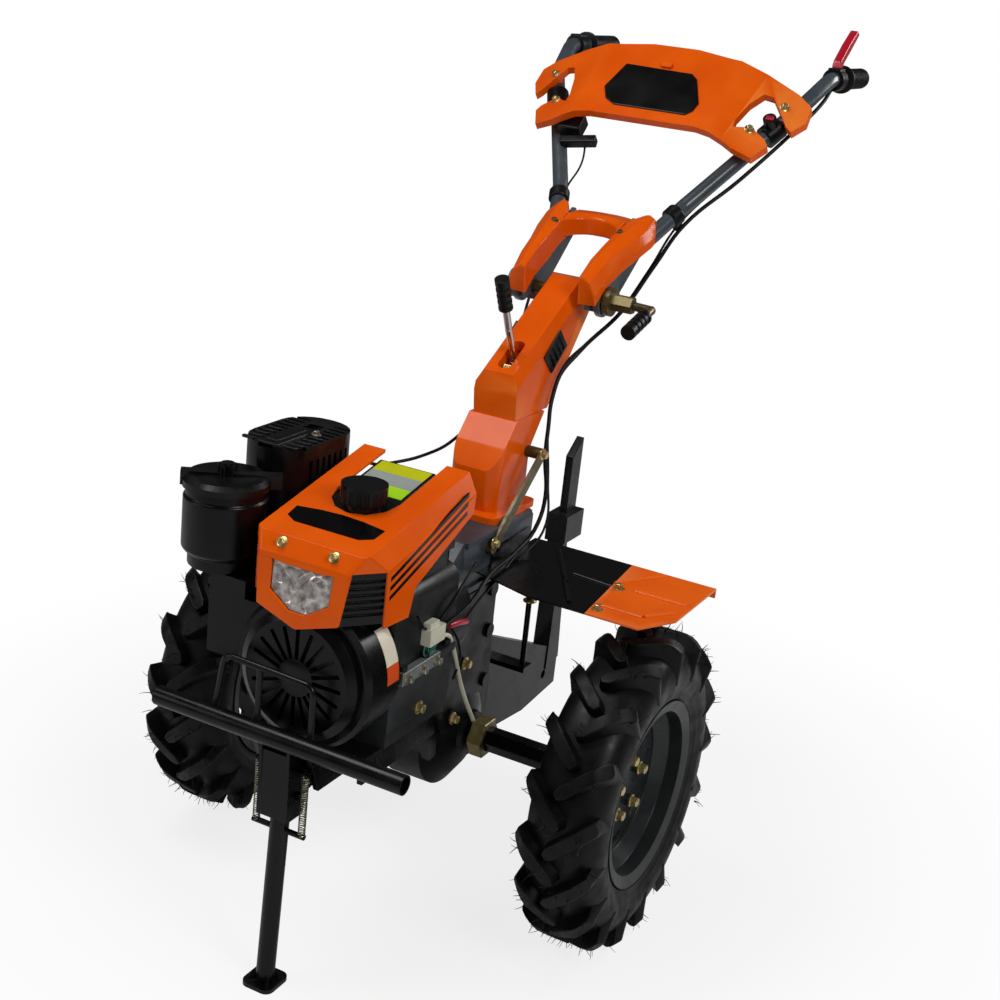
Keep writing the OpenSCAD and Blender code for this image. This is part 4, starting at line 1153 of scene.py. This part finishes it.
@dataclass
class PowerUnit:
    """Engine, tank, air cleaner and muffler with what shows on them."""

    crank_z: float = 450.0
    shroud_r: float = 105.0
    shroud_x: tuple[float, float] = (303.0, 331.0)
    ramp_at: tuple[float, float] = (144.0, 681.0)
    ramp_fall: float = 0.2214
    label_half: float = 40.0
    guard_top: float = 700.0
    guard_mid: float = -161.0

    def build(self) -> None:
        """Rounds the solids and adds the labels, the flange, the wires and the ribs."""
        machine = Body.MACHINE
        round_node("engine_block", CHARCOAL_CAST, machine, 1.4, flat_degrees=0)
        round_node("blower_housing", BLACK_MOULDED, machine, 1.4)
        round_node("fuel_tank", TANK_ENAMEL, machine, 2.5, 3)
        round_node("fuel_cap", BLACK_MOULDED, machine, 1.2)
        round_node("air_cleaner", BLACK_MOULDED, machine, 1.6)
        round_node("air_cleaner_lid", BLACK_MOULDED, machine, 1.2)
        round_node("muffler_guard", BLACK_MOULDED, machine, 1.6)
        round_node("connectors", CREAM_NYLON, machine, 1.0)
        self.label()
        self.sticker()
        self.flange()
        self.wiring()
        self.guard_ribs()

    def label(self) -> None:
        """Lays the blank label on the tank's slope behind the cap, in three fields of colour."""
        x, z = self.ramp_at
        slope = Matrix.Translation(at(x, 0, z)) @ Matrix.Rotation(math.atan(self.ramp_fall), 4, "Y")
        w = self.label_half
        fields = (("rear", 2, 28, YELLOW_FILM), ("middle", 28, 58, GREY_FILM), ("front", 58, 84, LIME_FILM))
        for word, start, end, finish in fields:
            film = plate([(start, -w), (end, -w), (end, w), (start, w)], 0.5)
            dress(settle(film, slope), f"tank_label_{word}", finish, Body.MACHINE)

    def sticker(self) -> None:
        """Wraps the blank cream and orange sticker round the blower's rim."""
        x0, x1 = self.shroud_x
        for word, low, high, finish in (("cream", 14, 42, CREAM_FILM), ("orange", 0, 14, ORANGE_FILM)):
            rows = []
            for i in range(9):
                angle = math.radians(low + (high - low) * i / 8)
                y = (self.shroud_r + 0.2) * math.cos(angle)
                z = self.crank_z + (self.shroud_r + 0.2) * math.sin(angle)
                rows.append([at(x0, y, z), at(x1, y, z)])
            dress(sheet(rows, 0.8), f"blower_sticker_{word}", finish, Body.MACHINE)

    def flange(self) -> None:
        """Bolts the bare machined rail along the crankcase's left side."""
        rail = block((98, 12, 19), 1.2, Matrix.Translation(at(241, 99, 442.5)))
        dress(rail, "engine_side_rail", RAW_ALUMINIUM, Body.MACHINE)
        places = [facing(at(x, 105, 442), LEFT) for x in (203, 241, 278)]
        Bolt(10, 6, 8, 1.5).row("engine_rail_bolts", places, CLEAR_ZINC, Body.MACHINE)
        studs = [standing("engine_block", at(217, side * 250, 372), LEFT * -side) for side in SIDES]
        Bolt(12, 7, 10, 1.8).row("engine_base_bolts", studs, YELLOW_ZINC, Body.MACHINE)

    def wiring(self) -> None:
        """Runs the hose and the wires round the plugs on the engine's left side."""
        machine = Body.MACHINE
        hose = [at(196, 101, 474), at(168, 101, 466), at(150, 98, 448), at(120, 92, 410)]
        hose += [at(90, 86, 366), at(45, 80, 306), at(8, 76, 262)]
        dress(tube(hose, 6.5), "breather_hose", CREAM_NYLON, machine)
        sleeve = tube([at(163, 98, 478), at(140, 99, 475), at(112, 98, 468)], 9)
        dress(sleeve, "wire_sleeve_red", RED_NYLON, machine)
        green = [[at(212, 97, 474), at(232, 100, 466), at(228, 100, 456), at(204, 99, 462), at(192, 98, 472)]]
        green.append([at(206, 97, 474), at(222, 101, 462), at(210, 100, 454), at(190, 97, 464)])
        dress(merge([tube(line, 2.6) for line in green]), "wires_green", GREEN_PVC, machine)
        dark = [
            [at(214, 96, 486), at(238, 98, 502), at(252, 97, 520)],
            [at(120, 98, 470), at(70, 94, 486), at(0, 88, 500), at(-70, 78, 512)],
            [at(190, 96, 490), at(160, 98, 512), at(118, 92, 528), at(60, 78, 536)],
            [at(150, 96, 470), at(128, 98, 440), at(112, 94, 408), at(106, 84, 372)],
        ]
        dress(merge([tube(line, 4.2) for line in dark]), "wires_black", SOFT_BLACK, machine)
        throttle = [at(58, -96, 640), at(104, -104, 652), at(170, -106, 640), at(214, -110, 600)]
        dress(tube(throttle, 5), "choke_wire", SOFT_BLACK, machine)

    def guard_ribs(self) -> None:
        """Raises the louvres and the middle panel on the muffler guard's top."""
        bars = []
        for side in SIDES:
            for i in range(5):
                spot = at(246 - 15 * i, self.guard_mid + side * 34, self.guard_top + 0.6)
                bars.append(Matrix.Translation(spot))
        rib = block((6, 21, 4.4), 1.6, Matrix.Identity(4))
        ribs = copies(rib, bars)
        panel = block((96, 34, 5), 2.0, Matrix.Translation(at(204, self.guard_mid, self.guard_top)))
        inner = block((70, 18, 4), 1.5, Matrix.Translation(at(206, self.guard_mid, self.guard_top + 2.6)))
        dress(merge([ribs, panel, inner]), "guard_louvres", BLACK_MOULDED, Body.MACHINE)
        Bolt(8, 4, 7, 1.2).row(
            "guard_screw",
            [facing(at(168, self.guard_mid + 24, self.guard_top), UP)],
            CLEAR_ZINC,
            Body.MACHINE,
        )


@dataclass
class Hood:
    """Orange hood with its lamp, grilles, badge, stripes and bolts."""

    brow: tuple[float, float] = (372.0, 634.0)
    nose: tuple[float, float] = (388.0, 612.0)
    rise: float = 0.2252
    base: float = 562.0
    half_w: float = 101.0
    stripe_x: tuple[float, float] = (148.0, 338.0)
    stripe_h: float = 6.0
    stripe_step: float = 13.0
    stripe_z: float = 571.0
    stripe_rise: float = 66.5
    bolt_y: float = 40.0
    lamp_x: float = 386.4
    lamp_lean: float = 0.124

    def build(self) -> None:
        """Rounds the shell and sets the pieces on it."""
        self.shell()
        round_node("hood_grilles", BLACK_MOULDED, Body.MACHINE, 0.5)
        # The lamp's finish paints the reflector's reflections as a pale colour with dark patches.
        round_node("headlight", LAMP_GLASS_PAINTED_REFLECTIONS, Body.MACHINE, 1.0)
        self.facets()
        self.stripes()
        self.badge()
        places = []
        for side in SIDES:
            places.append(standing("hood", at(430, side * self.bolt_y, 690), Vector((-0.62, 0, -0.78))))
        Bolt(9, 5, 8, 1.8).row("hood_bolts", places, YELLOW_ZINC, Body.MACHINE)

    def shell(self) -> None:
        """Rolls the hood's brow over in a wide curve and softens the other edges."""
        shell = copy_node("hood", 0)
        with editing(shell, "EDGE"):
            mesh = bmesh.from_edit_mesh(shell.data)
            for edge in mesh.edges:
                sharp = edge.calc_face_angle(0) > 0.02
                edge.select_set(sharp and all(self.at_brow(v.co) for v in edge.verts))
            bmesh.update_edit_mesh(shell.data)
            bpy.ops.mesh.bevel(offset=5 * MM, segments=4, affect="EDGES", clamp_overlap=False)
        soften(shell, 1.0, 2, False)
        dress(shell, "hood_skin", ORANGE_ABS, Body.MACHINE, ["hood"])

    def at_brow(self, point: Vector) -> bool:
        """Tells whether a point lies on the outer brow or nose edge."""
        for x, z in (self.brow, self.nose):
            spot = at(x, 0, z)
            if abs(point.x - spot.x) < 3e-4 and abs(point.z - spot.z) < 3e-4:
                return True
        return False

    def facets(self) -> None:
        """Moulds the lamp glass in random facets inside a plain rim."""
        outline = [(-45, 41), (-30, 38.5), (30, 38.5), (45, 41)]
        outline += [(43.5, 3), (11, -17.5), (-11, -17.5), (-43.5, 3)]
        glass = plate(outline, 3)
        draw = random.Random(5)
        with editing(glass, "FACE"):
            for across, long in (((1, 0, 0), 11), ((0, 1, 0), 8)):
                for i in range(1, long):
                    bpy.ops.mesh.select_all(action="SELECT")
                    reach = (-45 + 90 * i / 11) if across[0] else (-18 + 60 * i / 8)
                    spot = [n * reach * MM for n in across]
                    bpy.ops.mesh.bisect(plane_co=spot, plane_no=across)
        edge = {i for e in glass.data.edges for i in e.vertices if glass.data.vertices[i].co.z < 1 * MM}
        for vertex in glass.data.vertices:
            if vertex.index not in edge and abs(vertex.co.x) < 42 * MM and -13 * MM < vertex.co.y < 37 * MM:
                vertex.co.z += draw.uniform(-2.4, 1.2) * MM
        with editing(glass, "FACE"):
            bpy.ops.mesh.select_all(action="SELECT")
            bpy.ops.mesh.quads_convert_to_tris()
        smooth(glass, 3)
        out = Vector((1, 0, self.lamp_lean)).normalized()
        turned = Matrix((LEFT, out.cross(LEFT), out)).transposed().to_4x4()
        settle(glass, Matrix.Translation(at(self.lamp_x + 1.4, 0, self.base)) @ turned)
        # The glass's finish paints the reflector's reflections as a pale colour with dark patches.
        dress(glass, "lamp_facets", LAMP_GLASS_PAINTED_REFLECTIONS, Body.MACHINE)

    def badge(self) -> None:
        """Lays the blank black badge in front of the mouth."""
        x, z = self.brow
        half = [(-32, 49), (-42, 66), (-66, 68), (-72, 32)]
        outline = [*half, (-74, 0), *[(a, -b) for a, b in reversed(half)]]
        film = plate(outline, 0.7)
        slope = Matrix.Translation(at(x, 0, z)) @ Matrix.Rotation(math.atan(self.rise), 4, "Y")
        dress(settle(film, slope), "hood_badge_blank", BLACK_FILM, Body.MACHINE)

    def stripes(self) -> None:
        """Fills the side slots with black film strips."""
        parts = []
        x0, x1 = self.stripe_x
        for side in SIDES:
            for i in range(3):
                low = self.stripe_z + i * self.stripe_step
                high = low + self.stripe_rise
                front = [(x1, low), (x1, low + self.stripe_h)]
                back = [(x0, high + self.stripe_h), (x0, high)]
                strip = plate(front + back, 2.4)
                upright = Matrix.Rotation(math.pi / 2, 4, "X")
                shift = Matrix.Translation(at(0, side * (self.half_w - 0.2) + (2.4 if side < 0 else 0), 0))
                parts.append(settle(strip, shift @ upright))
        dress(merge(parts), "hood_stripes", BLACK_FILM, Body.MACHINE)


@dataclass
class Chassis:
    """Gearbox, front frame, stand, fenders and hitch."""

    spring_x: float = 402.0
    spring_y: float = 36.5
    spring_z: tuple[float, float] = (238.0, 326.0)
    coil: float = 11.0
    wire: float = 1.9
    turns: int = 26
    hoop_x: float = 409.0
    strut_at: tuple[float, float] = (-160.0, 68.0)

    def build(self) -> None:
        """Rounds the solids, winds the springs and sets the bolts."""
        machine = Body.MACHINE
        round_node("gearbox_case", BLACK_CAST, machine, 2.0)
        round_node("gearbox_deck", SLATE_CAST, machine, 2.0)
        round_node("front_frame", BLACK_POWDER, machine, 1.2)
        round_node("stand_leg", BLACK_POWDER, Body.STAND, 1.2)
        round_node("fenders_inner", BLACK_POWDER, machine, 0.8, flat_degrees=0)
        round_node("fenders_outer", ORANGE_ENAMEL, machine, 0.8)
        round_node("hitch", BLACK_POWDER, machine, 1.4)
        round_node("drag_bar", BLACK_POWDER, machine, 1.0)
        round_node("shift_link", OLIVE_ZINC, machine, 0.8)
        self.springs()
        self.hoop()
        self.bolts()

    def springs(self) -> None:
        """Winds the two stand springs between the frame and the leg."""
        low, high = self.spring_z
        coils = []
        for side in SIDES:
            line = []
            steps = self.turns * 10
            for i in range(steps + 1):
                angle = 2 * math.pi * i / 10
                r = (self.coil - self.wire) / 2
                line.append(
                    at(
                        self.spring_x + r * math.cos(angle),
                        side * self.spring_y + r * math.sin(angle),
                        low + (high - low) * i / steps,
                    )
                )
            coils.append(tube(line, self.wire, Run.BENT, 0.4, 1))
        springs = merge(coils)
        springs.name = "stand_spring_coils"
        springs.data.materials.clear()
        springs.data.materials.append(CLEAR_ZINC.material())
        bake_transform(springs)
        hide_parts("stand_springs")
        log.info("stand_spring_coils: %d faces", len(springs.data.polygons))

    def hoop(self) -> None:
        """Bends the thin guard hoop that stands on the bumper in front of the engine."""
        x = self.hoop_x
        line = [at(x, 44, 380), at(x, 44, 458), at(x, -96, 462), at(x, -108, 380)]
        post = [at(x, -40, 380), at(x, -40, 461)]
        hoop = merge([tube(line, 9, Run.BENT, 16, 3), tube(post, 9, Run.BENT, 10, 3)])
        dress(hoop, "front_hoop", BLACK_POWDER, Body.MACHINE)

    def bolts(self) -> None:
        """Sets the plated bolts on the gearbox, the fenders and the shift link."""
        case, lids, links = [], [], []
        for side in SIDES:
            for x, z in ((47, 277), (26, 360)):
                case.append(standing("gearbox_case", at(x, side * 250, z), LEFT * -side))
            for x, y in ((-66, 250), (28, 259)):
                lids.append(standing("fenders_outer", at(x, side * y, 700), -UP))
            x, y = self.strut_at
            links.append(facing(at(x, side * y, 404), UP))
        Bolt(12, 7, 10, 1.8).row("gearbox_bolts", case, YELLOW_ZINC, Body.MACHINE)
        Bolt(10, 6, 9, 1.6).row("fender_bolts", lids, YELLOW_ZINC, Body.MACHINE)
        Bolt(11, 6, 11, 3).row("strut_heads", links, YELLOW_ZINC, Body.MACHINE)
        ends = [standing("shift_link", at(x, 250, z), -LEFT) for x, z in ((-138, 652), (-6, 545))]
        Bolt(11, 6, 9, 1.6).row("shift_link_bolts", ends, YELLOW_ZINC, Body.MACHINE)


@dataclass
class Column:
    """Steering column with its vents, gear lever and handlebar lock."""

    def build(self) -> None:
        """Rounds the solids and fits the selector under the lever."""
        machine = Body.MACHINE
        round_node("column_lower", ORANGE_ABS, machine, 3.0, 3, flat_degrees=0)
        round_node("column_upper", ORANGE_ABS, machine, 3.0, 3)
        round_node("column_vents", BLACK_MOULDED, machine, 0.6)
        round_node("gear_lever", CHROME, machine, 0.6)
        round_node("gear_knob", SOFT_BLACK, machine, 1.2)
        round_node("tilt_pin", OLIVE_ZINC, machine, 0.9)
        round_node("lock_crank_grip", SOFT_BLACK, machine, 1.2)
        lean = Matrix.Rotation(math.radians(-31), 4, "Y")
        selector = block((13, 14, 10), 1.5, Matrix.Translation(at(-131, 0, 772)) @ lean)
        dress(selector, "lever_selector", YELLOW_ZINC, machine)


@dataclass
class Handlebar:
    """Tilting handlebar with its covers, dash, levers, grips and cables."""

    bar: float = 26.0
    bar_points: tuple[tuple[float, float, float], ...] = (
        (-412, 58, 952), (-412, 82, 952), (-476, 111, 1004),
        (-646, 222, 1168), (-730, 241, 1216), (-906, 241, 1216),
    )
    pin_hole_r: float = 11.5
    strap_t: float = 10.0
    strap_y: float = 65.5
    strap_ends: tuple[tuple[float, float, float], ...] = ((-292, 869, 27), (-412, 950, 19))
    web_half: float = 50.0
    web_steps: int = 24
    web_swing: float = 2.4
    web_middle: tuple[tuple[float, float], ...] = (
        (-402, 945), (-399, 972), (-408, 979), (-437, 979), (-437, 943),
    )
    web_end: tuple[tuple[float, float], ...] = (
        (-366, 939), (-359, 967), (-384, 977), (-423, 979), (-423, 943),
    )
    cover_rings: tuple[tuple[tuple[float, float, float], ...], ...] = (
        (
            (-252, 45, 862), (-244, 46, 906), (-242, 54, 909),
            (-243, 66, 900), (-247, 75, 880), (-253, 76, 864),
        ),
        (
            (-282, 46, 886), (-280, 46, 930), (-276, 57, 934),
            (-274, 70, 924), (-276, 77, 904), (-283, 77, 888),
        ),
        (
            (-322, 46, 906), (-320, 47, 948), (-316, 61, 952),
            (-312, 75, 941), (-315, 82, 922), (-322, 82, 908),
        ),
        (
            (-358, 47, 926), (-356, 49, 964), (-353, 67, 968),
            (-350, 84, 956), (-353, 92, 940), (-360, 92, 928),
        ),
        (
            (-398, 49, 938), (-396, 54, 981), (-393, 74, 984),
            (-390, 90, 972), (-394, 97, 954), (-400, 96, 942),
        ),
        (
            (-430, 60, 946), (-424, 69, 989), (-423, 77, 991),
            (-424, 87, 985), (-428, 94, 968), (-432, 92, 950),
        ),
    )
    grip_x: tuple[float, float] = (-910.0, -790.0)
    grip_r: float = 17.5
    dash_at: tuple[float, float, float] = (-594.0, 0.0, 1117.8)
    dash_out: tuple[float, float, float] = (0.6943, 0.0, 0.7197)
    dash_down: tuple[float, float, float] = (0.7197, 0.0, -0.6943)

    def build(self) -> None:
        """Rounds the solids, bends the tubes and runs the cables."""
        body = Body.HANDLEBAR
        round_node("yoke", SLATE_TUBE, body, 1.4)
        self.covers()
        self.straps()
        round_node("dash_panel", ORANGE_ABS, body, 2.6, 3)
        round_node("dash_plate", BLACK_FILM, body, 1.2)
        round_node("clutch_lever", RED_NYLON, body, 2.5, 3)
        round_node("lever_perches", BLACK_MOULDED, body, 1.4)
        round_node("engine_switch", BLACK_MOULDED, body, 1.4)
        self.tubes()
        self.grips()
        self.bolts()
        self.switchgear()
        self.clips()
        self.cables()

    def over_dash(self, down: float, y: float, out: float) -> Vector:
        """Gives a point by its way down the dash, to the left and out from it."""
        x, _, z = self.dash_at
        ahead = x + down * self.dash_down[0] + out * self.dash_out[0]
        above = z + down * self.dash_down[2] + out * self.dash_out[2]
        return at(ahead, y, above)

    def covers(self) -> None:
        """Shapes the two flared covers of the yoke and the arched web between them."""
        parts = []
        for side in SIDES:
            arm = loft([[at(x, side * y, z) for x, y, z in ring] for ring in self.cover_rings])
            soften(arm, 2.4, 3)
            smooth(arm, 11)
            parts.append(arm)
        web = []
        for i in range(self.web_steps + 1):
            y = self.web_half * (2 * i / self.web_steps - 1)
            out = abs(y / self.web_half) ** self.web_swing
            ring = []
            for (x, z), (end_x, end_z) in zip(self.web_middle, self.web_end):
                ring.append(at(x + (end_x - x) * out, y, z + (end_z - z) * out))
            web.append(ring)
        bridge = loft(web)
        soften(bridge, 3.0, 3)
        dress(merge([*parts, bridge]), "yoke_covers_flared", ORANGE_ABS, Body.HANDLEBAR, ["yoke_covers"])

    def straps(self) -> None:
        """Cuts the two steel straps that carry the tubes down to the pin."""
        (x0, z0, r0), (x1, z1, r1) = self.strap_ends
        lean = math.atan2(z1 - z0, x1 - x0)
        outline = []
        for x, z, r, start in ((x0, z0, r0, 90), (x1, z1, r1, -90)):
            for i in range(13):
                angle = lean + math.radians(start + 15 * i)
                outline.append((x - x0 + r * math.cos(angle), z - z0 + r * math.sin(angle)))
        model = plate(outline, self.strap_t)
        deselect()
        bpy.ops.mesh.primitive_cylinder_add(vertices=40, radius=self.pin_hole_r * MM, depth=0.08)
        hole = bpy.context.view_layer.objects.active
        apply_modifier(model, "BOOLEAN", operation="DIFFERENCE", object=hole, solver="EXACT")
        bpy.data.objects.remove(hole)
        heal(model)
        soften(model, 1.6)
        turn_up = Matrix.Rotation(math.radians(90), 4, "X")
        starts = (self.strap_y + self.strap_t, -self.strap_y)
        places = [Matrix.Translation(at(x0, y, z0)) @ turn_up for y in starts]
        dress(copies(model, places), "yoke_straps", SLATE_TUBE, Body.HANDLEBAR)

    def tubes(self) -> None:
        """Bends the two main tubes."""
        parts = []
        for side in SIDES:
            line = [at(x, side * y, z) for x, y, z in self.bar_points]
            parts.append(tube(line, self.bar, Run.BENT, 55, 6))
        dress(merge(parts), "handle_tubes_bent", SLATE_TUBE, Body.HANDLEBAR, ["handle_tubes"])

    def grips(self) -> None:
        """Turns the two ribbed grips."""
        x0, x1 = self.grip_x
        long = x1 - x0
        r = self.grip_r
        profile = [(0, 0), (r * 0.7, 0), (r * 0.95, 2), (r, 5)]
        for i in range(18):
            z = 8 + i * (long - 22) / 18
            profile += [(r, z), (r - 1.4, z + 1.2), (r - 1.4, z + 3.4), (r, z + 4.6)]
        profile += [(r, long - 7), (r + 6, long - 5), (r + 6, long - 1), (r + 4, long), (0, long)]
        model = turn(profile, 28)
        places = [facing(at(x0, side * 241, 1216), AHEAD) for side in SIDES]
        dress(copies(model, places), "grips_ribbed", SOFT_BLACK, Body.HANDLEBAR, ["grips"])

    def bolts(self) -> None:
        """Sets the bolts of the dash's tabs and of the covers."""
        inward = -Vector(self.dash_out)
        dash, covers = [], []
        for side in SIDES:
            for down, y in ((-49, 208), (19, 174)):
                dash.append(standing("dash_panel", self.over_dash(down, side * y, 120), inward))
            covers.append(facing(at(-356, side * 58, 964.5), Vector((0.41, 0, 0.91))))
        Bolt(9, 5, 8, 1.6).row("dash_bolts", dash, YELLOW_ZINC, Body.HANDLEBAR)
        Bolt(8, 4, 7, 1.2).row("cover_bolts", covers, OLIVE_ZINC, Body.HANDLEBAR)

    def switchgear(self) -> None:
        """Adds the red rocker of the stop switch and the box under the dash's right end."""
        place = standing("engine_switch", self.over_dash(-15, 196, 120), -Vector(self.dash_out))
        dress(block((13, 9, 6), 1.2, place), "switch_rocker", RED_NYLON, Body.HANDLEBAR)
        lean = facing(self.over_dash(52, -132, 22), Vector(self.dash_out))
        box = block((40, 34, 26), 2.5, lean)
        relay = block((62, 15, 17), 2.0, facing(self.over_dash(78, -112, 14), Vector(self.dash_out), 12))
        dress(merge([box, relay]), "dash_relay_box", BLACK_MOULDED, Body.HANDLEBAR)

    def clips(self) -> None:
        """Closes a moulded cable clip round each tube above the covers."""
        low, high = (Vector(p) for p in self.bar_points[1:3])
        r = self.bar / 2
        places = []
        for side in SIDES:
            spot = low.lerp(high, 0.72)
            way = high - low
            places.append(facing(at(spot.x, side * spot.y, spot.z), Vector((way.x, side * way.y, way.z))))
        profile = [(r - 0.5, -10), (r + 3, -10), (r + 4.2, -8), (r + 4.2, 8)]
        profile += [(r + 3, 10), (r - 0.5, 10), (r - 0.5, -10)]
        ring = turn(profile, 28)
        lug = block((9, 12, 16), 1.5, Matrix.Translation(Vector((0, -r - 5, 0)) * MM))
        dress(copies(merge([ring, lug]), places), "tube_clips", SOFT_BLACK, Body.HANDLEBAR)

    def lace(self, name: str, line: Sequence[Vector], across: float, nodes: Sequence[str] = ()) -> None:
        """Runs one cable along its points from the handlebar down to the machine."""
        cable = tube(line, across)
        cable.name = name
        cable.data.materials.append(SOFT_BLACK.material())
        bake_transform(cable)
        if nodes:
            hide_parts(*nodes)
        log.info("%s: %d faces", name, len(cable.data.polygons))

    def cables(self) -> None:
        """Runs the clutch, switch and throttle cables down the tubes and past the tilt joint."""
        clutch = [
            at(-743, 241, 1200), at(-712, 240, 1180), at(-646, 224, 1138),
            at(-560, 168, 1050), at(-476, 116, 976),
            at(-412, 100, 914), at(-338, 84, 846), at(-268, 62, 800), at(-224, 50, 770), at(-196, 48, 722),
            at(-182, 54, 682), at(-170, 60, 640), at(-160, 73, 582), at(-140, 75, 542), at(-60, 79, 516),
            at(28, 87, 512), at(112, 100, 494), at(189, 100, 482),
        ]
        self.lace("clutch_cable", clutch, 6.5, ["cables_upper", "cables_lower"])
        switch = [
            at(-598, 186, 1112), at(-552, 156, 1058), at(-470, 107, 974),
            at(-408, 94, 908), at(-334, 78, 838),
            at(-262, 58, 790), at(-214, 46, 748), at(-190, 50, 690),
            at(-178, 66, 600), at(-150, 84, 540), at(-60, 86, 506),
        ]
        self.lace("switch_wire", switch, 4.0)
        throttle = [
            at(-743, -241, 1200), at(-700, -236, 1168), at(-640, -214, 1118),
            at(-560, -164, 1044), at(-470, -110, 974),
            at(-408, -96, 908), at(-336, -78, 838), at(-262, -56, 782), at(-196, -50, 712), at(-97, -52, 664),
            at(5, -60, 650), at(58, -96, 640),
        ]
        self.lace("throttle_cable", throttle, 5.0)
        relay = [at(-548, -108, 1078), at(-530, -102, 1040), at(-490, -106, 1000), at(-464, -104, 972)]
        dress(tube(relay, 3.4), "relay_wire", SOFT_BLACK, Body.HANDLEBAR)


def main() -> None:
    """Builds the scene in order."""
    Studio().build()
    Handlebar().build()
    for side in SIDES:
        Wheel(side).build()
    PowerUnit().build()
    Hood().build()
    Chassis().build()
    Column().build()


if __name__ == "__main__":
    main()
